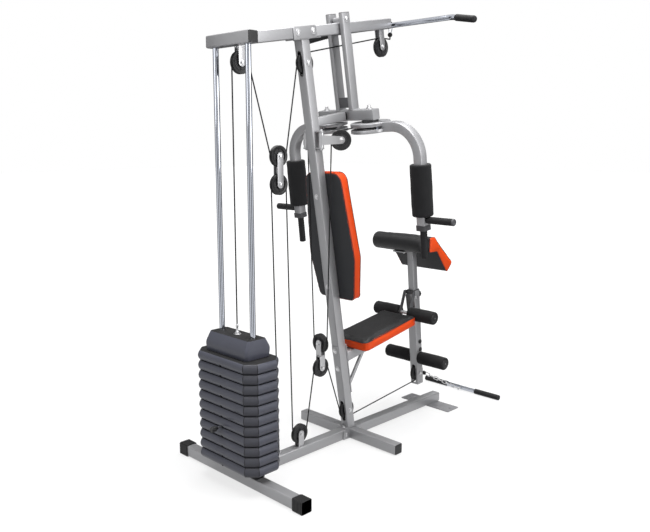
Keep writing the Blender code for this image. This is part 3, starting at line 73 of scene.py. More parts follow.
# %% Floor, upright and post
SHIFT = 0.7875
LEAN, POST_LEAN = math.radians(9.5), math.radians(5.5)
FOOT_X, FOOT_Z = 0.707, 0.0543
POST_X, POST_Z = 1.226, 0.65
FLOOR = Matrix.Translation((-SHIFT, 0, 0))
UPRIGHT = FLOOR @ Matrix.Translation((FOOT_X, 0, FOOT_Z)) @ Matrix.Rotation(-LEAN, 4, "Y")
POST = FLOOR @ Matrix.Translation((POST_X, 0, POST_Z)) @ Matrix.Rotation(-POST_LEAN, 4, "Y")
UPRIGHT_TO_FLOOR = FLOOR.inverted() @ UPRIGHT
POST_TO_FLOOR = FLOOR.inverted() @ POST
FLOOR_TO_UPRIGHT = UPRIGHT_TO_FLOOR.inverted()
SIDES = (("left", 1), ("right", -1))
BOTH = (1, -1)
CORNERS = ((-1, -1), (-1, 1), (1, 1), (1, -1))
FORWARD, ACROSS, UP = (1, 0, 0), (0, 1, 0), (0, 0, 1)
print("upright foot at", [round(v, 3) for v in UPRIGHT.translation])

# %% [markdown]
# ## Shapes
#
# Almost everything on this machine is one of four kinds of shape: a tube pushed along a line, a part turned on a
# lathe, a plate cut from sheet, or a block. Each kind gets a helper that returns a bmesh. A Boolean modifier cuts
# the slots and bores, because a real tube is cut after it is drawn too. Sharp edges are softened a little, as no real
# edge is perfectly sharp, and a soft edge catches the light.

# %% Loft and sweep
def loft(rings, closed=False):
    """Skin a row of rings; unless it is closed on itself, the two ends get a face."""
    shape = bmesh.new()
    rows = [[shape.verts.new(point) for point in ring] for ring in rings]
    count = len(rows[0])
    for low, high in zip(rows, rows[1:] + (rows[:1] if closed else [])):
        for i in range(count):
            j = (i + 1) % count
            shape.faces.new((low[i], low[j], high[j], high[i]))
    if not closed:
        shape.faces.new(rows[0][::-1])
        shape.faces.new(rows[-1])
    bmesh.ops.recalc_face_normals(shape, faces=shape.faces)
    return shape


def sweep(path, outline, across=None, closed=False):
    """Carry an outline along a path; 'across' holds one side of it still, else it rolls as little as it can."""
    path = [Vector(point) for point in path]
    side = Vector(across) if across else None
    rings = []
    last = len(path) - 1
    for k, point in enumerate(path):
        if closed:
            ahead = (path[(k + 1) % len(path)] - path[k - 1]).normalized()
        else:
            ahead = (path[min(k + 1, last)] - path[max(k - 1, 0)]).normalized()
        side = Vector(across) if across else (side or ahead.orthogonal())
        side = (side - ahead * side.dot(ahead)).normalized()
        up = ahead.cross(side)
        rings.append([point + side * a + up * b for a, b in outline])
    return loft(rings, closed)


# %% Outlines and the square tube
def circle(radius, steps=16):
    return [(radius * math.cos(2 * math.pi * k / steps), radius * math.sin(2 * math.pi * k / steps))
        for k in range(steps)]


def arc(x, y, radius, degrees):
    """Points at the given angles on a circle about (x, y)."""
    return [(x + radius * math.cos(math.radians(a)), y + radius * math.sin(math.radians(a))) for a in degrees]


def rounded(width, height, corner, steps=5):
    """A rectangle about the origin with round corners."""
    points = []
    for turn, (sx, sy) in enumerate(((1, 1), (-1, 1), (-1, -1), (1, -1))):
        points += arc(sx * (width / 2 - corner), sy * (height / 2 - corner), corner, [90 * turn + 90 * k / steps
            for k in range(steps + 1)])
    return points


def tube(start, end, width=0.05, height=0.05, corner=0.005, across=ACROSS):
    """A square tube whose ends are closed; 'width' lies along 'across'."""
    start, end = Vector(start), Vector(end)
    shape = sweep([start, end], rounded(width, height, corner), across)
    rims = [e for e in shape.edges if e.calc_face_angle(0) > 1.2]
    bmesh.ops.bevel(shape, geom=rims, offset=0.0006, segments=2, profile=0.7, affect="EDGES")
    return shape


# %% Lathe, rod and spacer
def aim(along, up="Y"):
    """Turn what is drawn along z so that it points along a direction."""
    return Vector(along).to_track_quat("Z", up).to_matrix().to_4x4()


def aimed(place, along):
    """Turn what is drawn along z and carry it to its place."""
    return Matrix.Translation(place) @ aim(along)


def turned(profile, place=(0, 0, 0), along=UP, steps=32, ring=False):
    """Turn a profile of (radius, height) about an axis; 'ring' joins its last point to its first."""
    shape = bmesh.new()
    rows = []
    for radius, height in profile:
        count = steps if radius else 1
        rows.append([shape.verts.new((radius * math.cos(2 * math.pi * k / steps),
            radius * math.sin(2 * math.pi * k / steps), height)) for k in range(count)])
    for low, high in zip(rows, rows[1:] + (rows[:1] if ring else [])):
        for i in range(steps):
            j = (i + 1) % steps
            corners = [low[i % len(low)], low[j % len(low)], high[j % len(high)], high[i % len(high)]]
            shape.faces.new(list(dict.fromkeys(corners)))
    bmesh.ops.recalc_face_normals(shape, faces=shape.faces)
    shape.transform(aimed(place, along))
    return shape


def rod(radius, low, high, place=(0, 0, 0), along=UP, steps=32):
    """A plain round bar between two heights; as a cutter it drills a bore."""
    return turned([(0, low), (radius, low), (radius, high), (0, high)], place, along, steps)


def hollow(inner, outer, low, high, place=(0, 0, 0), along=UP, steps=32):
    """A spacer: a short round tube between two heights."""
    return turned([(inner, low), (outer, low), (outer, high), (inner, high)], place, along, steps, ring=True)


# %% Sheet and block
def soften(shape, width=0.0008, segments=2, angle=35):
    """Round every edge that is sharper than the angle."""
    sharp = [e for e in shape.edges if e.calc_face_angle(0) > math.radians(angle)]
    bmesh.ops.bevel(shape, geom=sharp, offset=width, segments=segments, profile=0.7, affect="EDGES")
    return shape


def plate(outline, low, high, normal="y", edge=0.0006):
    """A sheet part: an outline with a thickness along one axis."""
    turn = {"x": lambda a, b, h: (h, a, b), "y": lambda a, b, h: (a, h, b), "z": lambda a, b, h: (a, b, h)}[normal]
    shape = loft([[turn(a, b, h) for a, b in outline] for h in (low, high)])
    return soften(shape, edge) if edge else shape


def block(low, high, edge=0.0008):
    """A block with softened edges."""
    xs, ys, zs = zip(low, high)
    outline = [(xs[0], ys[0]), (xs[1], ys[0]), (xs[1], ys[1]), (xs[0], ys[1])]
    return plate(outline, *zs, normal="z", edge=edge)


# %% Outlines with round corners
def eased(corners, radii, steps=6):
    """A polygon with its corners rounded to the given radii."""
    points = []
    for k, corner in enumerate(corners):
        here = Vector(corner)
        back = (Vector(corners[k - 1]) - here).normalized()
        ahead = (Vector(corners[(k + 1) % len(corners)]) - here).normalized()
        half = back.angle(ahead) / 2
        centre = here + (back + ahead).normalized() * (radii[k] / math.sin(half))
        start = here + back * (radii[k] / math.tan(half)) - centre
        turn = 1 if back.x * ahead.y - back.y * ahead.x < 0 else -1
        for step in range(steps + 1):
            angle = turn * (math.pi - 2 * half) * step / steps
            points.append((centre.x + start.x * math.cos(angle) - start.y * math.sin(angle),
                centre.y + start.x * math.sin(angle) + start.y * math.cos(angle)))
    return points


def panel(x_low, y_low, x_high, y_high, radii):
    """A rectangle with eased corners, counted from the lowest; one radius serves all four."""
    corners = [(x_low, y_low), (x_high, y_low), (x_high, y_high), (x_low, y_high)]
    return eased(corners, radii if isinstance(radii, list) else [radii] * 4)


def ordered(side, near, far):
    """Two distances from the mid-plane on one side, the lower value first."""
    return sorted((side * near, side * far))


def stadium(x, z_low, z_high, width, steps=10):
    """A strap or a slot with round ends at two heights."""
    half_turn = [180 * k / steps for k in range(steps + 1)]
    return arc(x, z_high, width / 2, half_turn) + arc(x, z_low, width / 2, [180 + a for a in half_turn])


# %% Meshes, objects and cuts
def as_mesh(shape, name="loose"):
    """Hand a shape over to a mesh."""
    mesh = bpy.data.meshes.new(name)
    shape.to_mesh(mesh)
    shape.free()
    return mesh


def in_scene(name, data):
    """An object in the scene for a mesh, a lamp or a camera."""
    thing = bpy.data.objects.new(name, data)
    bpy.context.scene.collection.objects.link(thing)
    return thing


def together(*shapes):
    """Join shapes to one, as they are."""
    whole = bmesh.new()
    for shape in shapes:
        mesh = as_mesh(shape)
        whole.from_mesh(mesh)
        bpy.data.meshes.remove(mesh)
    return whole


def baked(thing):
    """The object's mesh with its modifiers applied."""
    bpy.context.view_layer.update()
    return bpy.data.meshes.new_from_object(thing.evaluated_get(bpy.context.evaluated_depsgraph_get()))


def carved(shape, *tools):
    """Cut the tools out of the shape with one exact Boolean."""
    thing, cutter = in_scene("loose", as_mesh(shape)), in_scene("loose", as_mesh(together(*tools)))
    step = thing.modifiers.new("Cut", "BOOLEAN")
    step.object = cutter
    step.operation = "DIFFERENCE"
    step.solver = "EXACT"
    done = baked(thing)
    result = bmesh.new()
    result.from_mesh(done)
    for used in (thing, cutter):
        mesh = used.data
        bpy.data.objects.remove(used)
        bpy.data.meshes.remove(mesh)
    bpy.data.meshes.remove(done)
    return result


# %% Make a piece
def piece(name, shape, finish, body, *stands_for, place=FLOOR, smooth=38):
    """Carry a shape to the world, name it, give it its finish and let it ride on a body."""
    shape.transform(place)
    mesh = as_mesh(shape, name)
    mesh.shade_smooth()
    mesh.set_sharp_from_angle(angle=math.radians(smooth))
    thing = in_scene(name, mesh)
    for layer in finish if isinstance(finish, (list, tuple)) else (finish,):
        mesh.materials.append(layer)
    if body:
        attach(thing, body)
    if stands_for:
        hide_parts(*stands_for)
    print(name, len(mesh.polygons), "faces on", body)
    return thing


def maker(body, node, place=FLOOR):
    """A shorter 'piece' for the many pieces that ride on one body and stand for one node."""
    return lambda name, shape, finish, **more: piece(name, shape, finish, body, node, place=place, **more)


# %% [markdown]
# ## Fasteners
#
# The frame is bolted together with zinc hexagon bolts and washers, and with nuts where the thread comes out. One
# helper makes all of them: a washer, a six-sided head whose top is chamfered round, and, for a nut, the end of the
# thread. A low dome stands for a carriage bolt.

# %% Bolts
def bolt(place, along, size=0.009, kind="hex", washer=0.012):
    """A bolt head or a nut on a face; 'along' points away from the face."""
    parts = []
    base = 0.0
    if washer:
        parts.append(turned([(0, 0), (washer, 0), (washer, 0.0012), (washer - 0.0004, 0.0016), (0, 0.0016)], place,
            along, 24))
        base = 0.0012
    if kind == "dome":
        rounding = [(size * math.cos(math.radians(a)), base + 0.55 * size * math.sin(math.radians(a)))
            for a in range(0, 90, 15)]
        parts.append(turned([(0, base), *rounding, (0, base + 0.55 * size)], place, along, 24))
    else:
        head = turned([(0, base), (size, base), (size, base + 0.0046), (size * 0.86, base + 0.0056),
            (0, base + 0.0056)], place, along, 6)
        parts.append(soften(head, 0.0003, 1))
        if kind == "nut":
            stud = size * 0.55
            parts.append(turned([(0, base + 0.005), (stud, base + 0.005), (stud, base + 0.0095),
                (stud - 0.0008, base + 0.0103), (0, base + 0.0103)], place, along, 20))
    return together(*parts)


def through_bolt(centre, reach, size=0.0085, washer=0.0108):
    """A bolt across the machine, with its head on the right and its nut on the left."""
    centre, out = Vector(centre), Vector((0, reach, 0))
    return together(rod(0.0049, -reach, reach, centre, ACROSS, 20), bolt(centre - out, (0, -1, 0), size, "hex",
        washer), bolt(centre + out, ACROSS, size, "nut", washer))


# %% Weld seams
def seam(path, radius=0.0022, closed=False):
    """A weld seam: a thin bead with the small ripples that the torch leaves."""
    points = []
    path = [Vector(point) for point in path] + ([Vector(path[0])] if closed else [])
    for start, end in zip(path, path[1:]):
        count = max(2, round((end - start).length / 0.0024))
        points += [start.lerp(end, k / count) for k in range(count)]
    if not closed:
        points.append(path[-1])
    rings = []
    for k, point in enumerate(points):
        swell = radius * (1.0 if k % 2 else 0.78)
        ahead = points[min(k + 1, len(points) - 1)] - points[max(k - 1, 0)]
        side = ahead.orthogonal().normalized()
        up = ahead.normalized().cross(side)
        rings.append([point + side * a + up * b for a, b in circle(swell, 6)])
    return loft(rings)

# %% [markdown]
# ## Finishes
#
# Four effects come back on many surfaces, so each is one node group. An uneven tone stops a surface from being one
# flat colour. Rubbing lightens small scuffs. Dust settles on faces that look up. A relief gives the fine bumps:
# sprayed paint, moulded plastic, leather grain or the pores of foam. The groups put out colours, masks and heights,
# and the Principled shader stays in each material.

# %% Helpers for node groups
FLOAT, COLOUR, VECTOR = "NodeSocketFloat", "NodeSocketColor", "NodeSocketVector"


def new_group(title, inputs, outputs):
    group = bpy.data.node_groups.new(title, "ShaderNodeTree")
    for label, kind, value in inputs:
        socket = group.interface.new_socket(label, in_out="INPUT", socket_type=kind)
        if value is not None:
            socket.default_value = value
    for label, kind in outputs:
        group.interface.new_socket(label, in_out="OUTPUT", socket_type=kind)
    print("group", title)
    return group, group.nodes.new("NodeGroupInput").outputs, group.nodes.new("NodeGroupOutput").inputs


def surface_group(title, *extra):
    """A group that takes and gives a colour and a roughness; 'extra' names its other inputs."""
    inputs = [("Vector", VECTOR, None), ("Color", COLOUR, (0.5, 0.5, 0.5, 1)), ("Roughness", FLOAT, 0.5)]
    return new_group(title, inputs + list(extra), [("Color", COLOUR), ("Roughness", FLOAT)])


# %% Arithmetic, noise and mixing in a group
def maths(tree, operation, *values, clamp=False):
    """One step of arithmetic on sockets and plain numbers."""
    node = tree.nodes.new("ShaderNodeMath")
    node.operation = operation
    node.use_clamp = clamp
    for socket, value in zip(node.inputs, values):
        if hasattr(value, "links"):
            tree.links.new(value, socket)
        else:
            socket.default_value = value
    return node.outputs[0]


def preset(node, values):
    """Type values into the inputs of a node."""
    for label, value in values.items():
        node.inputs[label].default_value = value
    return node


def noise_node(tree, vector, scale, detail=3.0, rough=0.55):
    node = preset(tree.nodes.new("ShaderNodeTexNoise"), {"Detail": detail, "Roughness": rough})
    tree.links.new(vector, node.inputs["Vector"])
    if hasattr(scale, "links"):
        tree.links.new(scale, node.inputs["Scale"])
    else:
        node.inputs["Scale"].default_value = scale
    return node.outputs["Fac"]


def lay_over(group, given, out, mask, rougher, colour=None):
    """Mix a colour, or the input called Bare, over the given colour by a mask, and add to the roughness there."""
    blend = group.nodes.new("ShaderNodeMix")
    blend.data_type = "RGBA"
    group.links.new(mask, blend.inputs["Factor"])
    group.links.new(given["Color"], blend.inputs[6])
    if colour:
        blend.inputs[7].default_value = colour
    else:
        group.links.new(given["Bare"], blend.inputs[7])
    group.links.new(blend.outputs[2], out["Color"])
    group.links.new(maths(group, "MULTIPLY_ADD", mask, rougher, given["Roughness"], clamp=True), out["Roughness"])


# %% Uneven tone
uneven, given, out = surface_group("Uneven tone", ("Scale", FLOAT, 6.0), ("Amount", FLOAT, 0.1))
centred = maths(uneven, "SUBTRACT", noise_node(uneven, given["Vector"], given["Scale"]), 0.5)
swing = maths(uneven, "MULTIPLY_ADD", maths(uneven, "MULTIPLY", centred, 3.0), given["Amount"], 1.0)
tint = uneven.nodes.new("ShaderNodeVectorMath")
tint.operation = "SCALE"
uneven.links.new(given["Color"], tint.inputs[0])
uneven.links.new(swing, tint.inputs["Scale"])
uneven.links.new(tint.outputs[0], out["Color"])
uneven.links.new(maths(uneven, "MULTIPLY", given["Roughness"], swing, clamp=True), out["Roughness"])

# %% Rubbing
rubbing, given, out = surface_group("Rubbing", ("Bare", COLOUR, (0.7, 0.7, 0.7, 1)), ("Amount", FLOAT, 0.2))
stretch = preset(rubbing.nodes.new("ShaderNodeMapping"), {"Scale": (1.0, 1.0, 0.35)})
rubbing.links.new(given["Vector"], stretch.inputs["Vector"])
few = preset(rubbing.nodes.new("ShaderNodeMapRange"), {"From Min": 0.6, "From Max": 0.74})
rubbing.links.new(noise_node(rubbing, stretch.outputs["Vector"], 60.0, 6.0, 0.7), few.inputs["Value"])
lay_over(rubbing, given, out, maths(rubbing, "MULTIPLY", few.outputs[0], given["Amount"], clamp=True), 0.18)

# %% Settled dust
dusting, given, out = surface_group("Settled dust", ("Amount", FLOAT, 0.1))
facing = dusting.nodes.new("ShaderNodeNewGeometry")
split = dusting.nodes.new("ShaderNodeSeparateXYZ")
dusting.links.new(facing.outputs["Normal"], split.inputs[0])
upward = maths(dusting, "MAXIMUM", split.outputs["Z"], 0.0)
lying = maths(dusting, "MULTIPLY", upward, noise_node(dusting, given["Vector"], 22.0, 4.0, 0.6))
lay_over(dusting, given, out, maths(dusting, "MULTIPLY", lying, given["Amount"], clamp=True), 0.5,
    (0.5, 0.48, 0.45, 1))


# %% Reliefs
def relief_group(title, build):
    """A group that turns a place and a scale into a height."""
    group, given, out = new_group(title, [("Vector", VECTOR, None), ("Scale", FLOAT, 300.0)], [("Height", FLOAT)])
    group.links.new(build(group, given["Vector"], given["Scale"]), out["Height"])
    return group


def cells(tree, vector, scale, feature):
    node = tree.nodes.new("ShaderNodeTexVoronoi")
    node.feature = feature
    tree.links.new(vector, node.inputs["Vector"])
    tree.links.new(scale, node.inputs["Scale"])
    return node.outputs["Distance"]


# %% Leather and foam pores
def leather(tree, vector, scale):
    """Small rounded pebbles with creases between them, over a slower wrinkle."""
    wobble = tree.nodes.new("ShaderNodeVectorMath")
    wobble.operation = "MULTIPLY_ADD"
    bend = preset(tree.nodes.new("ShaderNodeTexNoise"), {"Scale": 90.0})
    tree.links.new(vector, bend.inputs["Vector"])
    tree.links.new(bend.outputs["Color"], wobble.inputs[0])
    wobble.inputs[1].default_value = (0.004, 0.004, 0.004)
    tree.links.new(vector, wobble.inputs[2])
    pebbles = cells(tree, wobble.outputs[0], scale, "DISTANCE_TO_EDGE")
    rounded_off = maths(tree, "MULTIPLY", pebbles, 3.0, clamp=True)
    return maths(tree, "ADD", rounded_off, noise_node(tree, vector, 35.0, 3.0))


def pores(tree, vector, scale):
    """Closed foam: pits of two sizes in a skin."""
    return maths(tree, "ADD", cells(tree, vector, scale, "F1"), noise_node(tree, vector, scale, 5.0, 0.7))


sprayed = relief_group("Sprayed relief", lambda tree, vector, scale: noise_node(tree, vector, scale, 2.0, 0.5))
stippled = relief_group("Stippled relief", lambda tree, vector, scale: cells(tree, vector, scale, "SMOOTH_F1"))
grained = relief_group("Leather relief", leather)
porous = relief_group("Porous relief", pores)


# %% One way to make a finish
def finish(title, slot, colour, roughness, metallic=0.0, relief=None, scale=300.0, depth=0.0002, strength=0.3,
           tone=(6.0, 0.06), rubbed=0.0, bare=(0.7, 0.7, 0.7), dust=0.0, coat=0.0, coat_rough=0.1, sheen=0.0,
           specular=0.5):
    """A material: the colour passes through tone, rubbing and dust, and a relief feeds the bump."""
    look = bpy.data.materials.new(title)
    look.use_nodes = True
    look["slot"] = slot
    tree = look.node_tree
    shader = tree.nodes["Principled BSDF"]
    place = tree.nodes.new("ShaderNodeTexCoord").outputs["Object"]

    def effect(group, before, **values):
        node = tree.nodes.new("ShaderNodeGroup")
        node.node_tree = group
        tree.links.new(place, node.inputs["Vector"])
        preset(node, values)
        if before:
            tree.links.new(before.outputs["Color"], node.inputs["Color"])
            tree.links.new(before.outputs["Roughness"], node.inputs["Roughness"])
        return node

    last = effect(uneven, None, Color=(*colour, 1), Roughness=roughness, Scale=tone[0], Amount=tone[1])
    if rubbed:
        last = effect(rubbing, last, Bare=(*bare, 1), Amount=rubbed)
    if dust:
        last = effect(dusting, last, Amount=dust)
    tree.links.new(last.outputs["Color"], shader.inputs["Base Color"])
    tree.links.new(last.outputs["Roughness"], shader.inputs["Roughness"])
    preset(shader, {"Metallic": metallic, "Coat Weight": coat, "Coat Roughness": coat_rough, "Sheen Weight": sheen,
        "Specular IOR Level": specular})
    if relief:
        bump = preset(tree.nodes.new("ShaderNodeBump"), {"Strength": strength, "Distance": depth})
        tree.links.new(effect(relief, None, Scale=scale).outputs["Height"], bump.inputs["Height"])
        tree.links.new(bump.outputs["Normal"], shader.inputs["Normal"])
    print("finish", title)
    return look


# %% [markdown]
# ### Metals
#
# The frame is sprayed with silver-grey paint: half metallic, satin, with the orange peel of a spray gun. The guide
# rods and the bars are chromed and nearly mirror-bright. Bolts, washers, straps and the chain are zinc plated, which
# is duller and a little cloudy. The foot plate shows larger zinc flowers.

# %% Metal finishes
silver = finish("Silver paint", "silver_paint", (0.34, 0.34, 0.35), 0.34, metallic=0.45, relief=sprayed, scale=520,
    depth=0.00012, strength=0.35, tone=(4.0, 0.05), rubbed=0.15, bare=(0.45, 0.45, 0.45), dust=0.04, specular=0.35)
flowered = finish("Galvanised plate", "silver_paint", (0.22, 0.22, 0.23), 0.4, metallic=0.4, relief=stippled,
    scale=70, depth=0.0003, strength=0.4, tone=(55.0, 0.28), rubbed=0.3, bare=(0.42, 0.42, 0.42), dust=0.06)
chrome = finish("Chrome", "chrome", (0.44, 0.46, 0.51), 0.07, metallic=1.0, tone=(9.0, 0.08), rubbed=0.06,
    bare=(0.4, 0.4, 0.42), dust=0.02)
zinc = finish("Zinc", "zinc", (0.56, 0.56, 0.57), 0.3, metallic=1.0, relief=sprayed, scale=700, depth=0.00008,
    strength=0.3, tone=(70.0, 0.12), rubbed=0.25, bare=(0.56, 0.56, 0.55), dust=0.04)
strap_metal = finish("Bright strap", "silver_paint", (0.44, 0.44, 0.45), 0.3, metallic=0.7, relief=sprayed, scale=600,
    depth=0.0001, tone=(12.0, 0.06), rubbed=0.3, dust=0.06)
black_steel = finish("Black powder coat", "black_steel", (0.11, 0.11, 0.116), 0.34, relief=sprayed, scale=650,
    depth=0.00018, strength=0.5, tone=(10.0, 0.08), rubbed=0.25, bare=(0.16, 0.16, 0.16), dust=0.04, specular=0.25)

# %% [markdown]
# ### Plastic, rubber and foam
#
# The weights wear a blue-grey plastic shell with a satin gloss and a matt black top. End caps, knobs and wheels are
# plain black plastic. The grips are soft rubber. The rollers and the arm pads are black foam with a closed skin,
# which has no gloss to speak of, so it gets a sheen instead.

# %% Plastic, rubber and foam finishes
shell = finish("Weight shell", "plate_shell", (0.064, 0.067, 0.088), 0.3, relief=stippled, scale=900, depth=0.0001,
    strength=0.35, tone=(14.0, 0.08), rubbed=0.15, bare=(0.11, 0.11, 0.13), dust=0.03, specular=0.3)
shell_face = finish("Weight chamfer", "plate_shell", (0.052, 0.053, 0.064), 0.44, relief=stippled, scale=900,
    depth=0.00012, strength=0.4, tone=(14.0, 0.1), rubbed=0.15, bare=(0.08, 0.08, 0.09), dust=0.03, specular=0.25)
shell_top = finish("Weight top", "plate_shell", (0.012, 0.012, 0.013), 0.7, relief=stippled, scale=500, depth=0.0003,
    strength=0.5, tone=(18.0, 0.12), dust=0.03, specular=0.15)
plastic = finish("Black plastic", "black_plastic", (0.013, 0.013, 0.014), 0.38, relief=stippled, scale=800,
    depth=0.00012, strength=0.35, tone=(16.0, 0.1), rubbed=0.15, bare=(0.05, 0.05, 0.05), dust=0.03, specular=0.3)
web = finish("Wheel web", "black_plastic", (0.032, 0.032, 0.034), 0.46, relief=stippled, scale=900, depth=0.0001,
    tone=(30.0, 0.12), rubbed=0.3, bare=(0.1, 0.1, 0.1), dust=0.04, specular=0.25)
grey_cap = finish("Grey plastic", "black_plastic", (0.065, 0.065, 0.07), 0.45, relief=stippled, scale=700,
    depth=0.00012, tone=(20.0, 0.08), rubbed=0.2, bare=(0.14, 0.14, 0.14), dust=0.03, specular=0.3)
rubber = finish("Grip rubber", "rubber", (0.011, 0.011, 0.012), 0.6, relief=stippled, scale=450, depth=0.00025,
    strength=0.5, tone=(25.0, 0.12), dust=0.03, specular=0.2)
foam = finish("Black foam", "foam", (0.013, 0.013, 0.014), 0.8, relief=porous, scale=420, depth=0.0005, strength=0.55,
    tone=(18.0, 0.14), dust=0.03, sheen=0.06, specular=0.15)
coat_black = finish("Cable coat", "cable_coat", (0.009, 0.009, 0.01), 0.4, relief=sprayed, scale=900, depth=0.00008,
    strength=0.3, tone=(30.0, 0.08), dust=0.02, specular=0.2)

# %% [markdown]
# ### Cushion covers
#
# The cushions are covered in vinyl with a fine leather grain. The face is black and glossy, the band round the sides
# is orange-red, and the board side is dark grey. Vinyl is a soft plastic, so a thin coat over a rougher base gives it
# a broad shine with a small bright core.

# %% Vinyl finishes
vinyl_face = finish("Black vinyl", "vinyl", (0.011, 0.011, 0.012), 0.45, relief=grained, scale=620, depth=0.00028,
    strength=0.45, tone=(8.0, 0.12), dust=0.02, coat=0.05, coat_rough=0.3, specular=0.3)
vinyl_band = finish("Orange vinyl", "vinyl", (0.72, 0.064, 0.006), 0.48, relief=grained, scale=620, depth=0.00022,
    strength=0.35, tone=(7.0, 0.05), rubbed=0.1, bare=(0.6, 0.08, 0.02), specular=0.25)
vinyl_back = finish("Dark grey vinyl", "vinyl", (0.03, 0.031, 0.034), 0.55, relief=grained, scale=480, depth=0.0003,
    strength=0.5, tone=(7.0, 0.12), rubbed=0.15, bare=(0.07, 0.07, 0.07), dust=0.03, specular=0.25)
print(len(bpy.data.materials), "materials in all")

# %% [markdown]
# ## Base
#
# The base is a T of 50 mm square tube: one beam along the floor, a crossbar at the back with ribbed plastic feet,
# and two short crossbars that bolt on beside the upright. A thin galvanised plate spreads the load at the front. The
# beam is drawn as a swept outline with round corners, and its ends are closed by plastic plugs, as on the machine.

# %% Base beam, foot plate and rear crossbar
HALF = 0.025
TOP_OF_BASE = 0.054
MID = 0.029
PLUG = 0.0028


def plug(place, along, width=0.05, height=0.05, across=ACROSS):
    """A plastic end plug: a thin plate with rounded edges that just shows at the end of a tube."""
    away = Vector(along).normalized()
    lid = sweep([Vector(place), Vector(place) + away * 0.0026], rounded(width - 0.002, height - 0.002, 0.005), across)
    return soften(lid, 0.0012, 3)


BASE_FRONT = 1.456
base_piece = maker("frame", "base_beam")
base_piece("base_beam_tube", tube((HALF, 0, MID), (BASE_FRONT - PLUG, 0, MID)), silver)
base_piece("base_beam_plug", plug((BASE_FRONT - PLUG, 0, MID), FORWARD), plastic)
PLATE_FRONT = BASE_FRONT - 0.0105
foot_outline = panel(PLATE_FRONT - 0.103, -0.1675, PLATE_FRONT, 0.1675, 0.006)
foot_holes = [rod(0.0045, -0.01, 0.02, (PLATE_FRONT - 0.052, y, 0)) for y in (-0.14, 0.14)]
base_piece("front_foot_plate", carved(plate(foot_outline, 0.0, 0.0042, normal="z"), *foot_holes), flowered)
base_piece("foot_plate_seams", together(*[seam([(PLATE_FRONT - 0.1, y, 0.0045), (PLATE_FRONT - 0.004, y, 0.0045)])
    for y in (-HALF - 0.001, HALF + 0.001)]), silver)

BAR_END = 0.4263
piece("rear_crossbar_tube", tube((0, -BAR_END, MID), (0, BAR_END, MID), across=FORWARD), silver, "frame",
    "rear_crossbar")
corner_seams = [seam([(HALF + 0.0006, -0.022, TOP_OF_BASE - 0.0006), (HALF + 0.0006, 0.022, TOP_OF_BASE - 0.0006)])]
for side in BOTH:
    corner_seams.append(seam([(HALF + 0.0004, side * HALF, 0.008), (HALF + 0.0004, side * HALF, 0.05)]))
piece("rear_corner_seams", together(*corner_seams), silver, "frame", "rear_crossbar")

# %% [markdown]
# ## Ribbed feet of the rear crossbar
#
# Each end of the rear crossbar wears a black plastic cap that is a little wider than the tube and carries ribs for
# grip. The cap is a rounded block with thin raised bands round it and a thicker band at its end.

# %% Ribbed caps
for name, side in SIDES:
    outer, inner = side * 0.4306, side * (0.4306 - 0.059)
    cap_box = sweep([(0, inner, MID), (0, outer, MID)], rounded(0.0562, 0.0572, 0.006), FORWARD)
    parts = [soften(cap_box, 0.0012, 3)]
    for k in range(6):
        y = inner + side * (0.006 + 0.0085 * k)
        rib = sweep([(0, y, MID), (0, y + side * 0.004, MID)], rounded(0.0592, 0.0586, 0.0066), FORWARD)
        parts.append(soften(rib, 0.0008, 2))
    parts.append(soften(sweep([(0, outer - side * 0.004, MID), (0, outer, MID)], rounded(0.0596, 0.059, 0.007),
        FORWARD), 0.0014, 3))
    piece("rear_cap_shell_" + name, together(*parts), plastic, "frame", "rear_cap_" + name)

# %% Middle crossbars with their flanges
MID_X, MID_END, FLANGE_HALF = 0.71, 0.332, 0.07
for name, side in SIDES:
    crossbar_piece = maker("frame", "mid_crossbar_" + name)
    near, far = side * (HALF + 0.0053), side * (MID_END - PLUG)
    crossbar_piece("mid_crossbar_tube_" + name, tube((MID_X, near, MID), (MID_X, far, MID), across=FORWARD), silver)
    crossbar_piece("mid_crossbar_plug_" + name, plug((MID_X, far, MID), (0, side, 0), across=FORWARD), plastic)
    ys = ordered(side, HALF + 0.0003, HALF + 0.0053)
    flange = plate(panel(MID_X - FLANGE_HALF, 0.005, MID_X + FLANGE_HALF, 0.053, 0.004), *ys, edge=0.0005)
    crossbar_piece("mid_flange_" + name, flange, silver)
    ring = [(MID_X + sx * (HALF + 0.0006), near + side * 0.0006, MID + sz * 0.023) for sx, sz in CORNERS]
    crossbar_piece("mid_seam_" + name, seam(ring), silver)
    bolts = [bolt((x, near, MID), (0, side, 0), 0.009, washer=0.0115) for x in (MID_X - 0.048, MID_X + 0.048)]
    crossbar_piece("mid_flange_bolts_" + name, together(*bolts), zinc)

# %% [markdown]
# ## Main upright
#
# One long tube leans back over the weights. Its foot is cut level and stands on a small plate. Two long slots with
# round ends go through it, one near the top and one near the floor, and a pulley turns inside each. At the top a bent
# U bracket clasps both beams. The slots are cut with a Boolean, as a mill would cut them.

# %% Upright tube and slots
SLOTS = (1.8103, 0.097)
FOOT_TOP = 0.0583
UPRIGHT_TOP = 1.9124
upright_piece = maker("frame", "main_upright", UPRIGHT)


def slot_cutter(x_from, x_to, height, half=0.056, width=0.024):
    return plate(stadium(0, height - half + width / 2, height + half - width / 2, width), x_from, x_to, "x", edge=0)


column = tube((0, 0, -0.02), (0, 0, UPRIGHT_TOP))
level_foot = block((-0.2, -0.2, -0.3), (0.2, 0.2, 0.0), edge=0)
level_foot.transform(FLOOR_TO_UPRIGHT @ Matrix.Translation((FOOT_X, 0, FOOT_TOP)))
column = carved(column, level_foot, *[slot_cutter(-0.06, 0.06, h) for h in SLOTS])
inside = tube((0, 0, 0.012), (0, 0, UPRIGHT_TOP - 0.004), 0.045, 0.045, 0.003)
column = carved(column, inside)
upright_piece("main_upright_tube", column, silver)

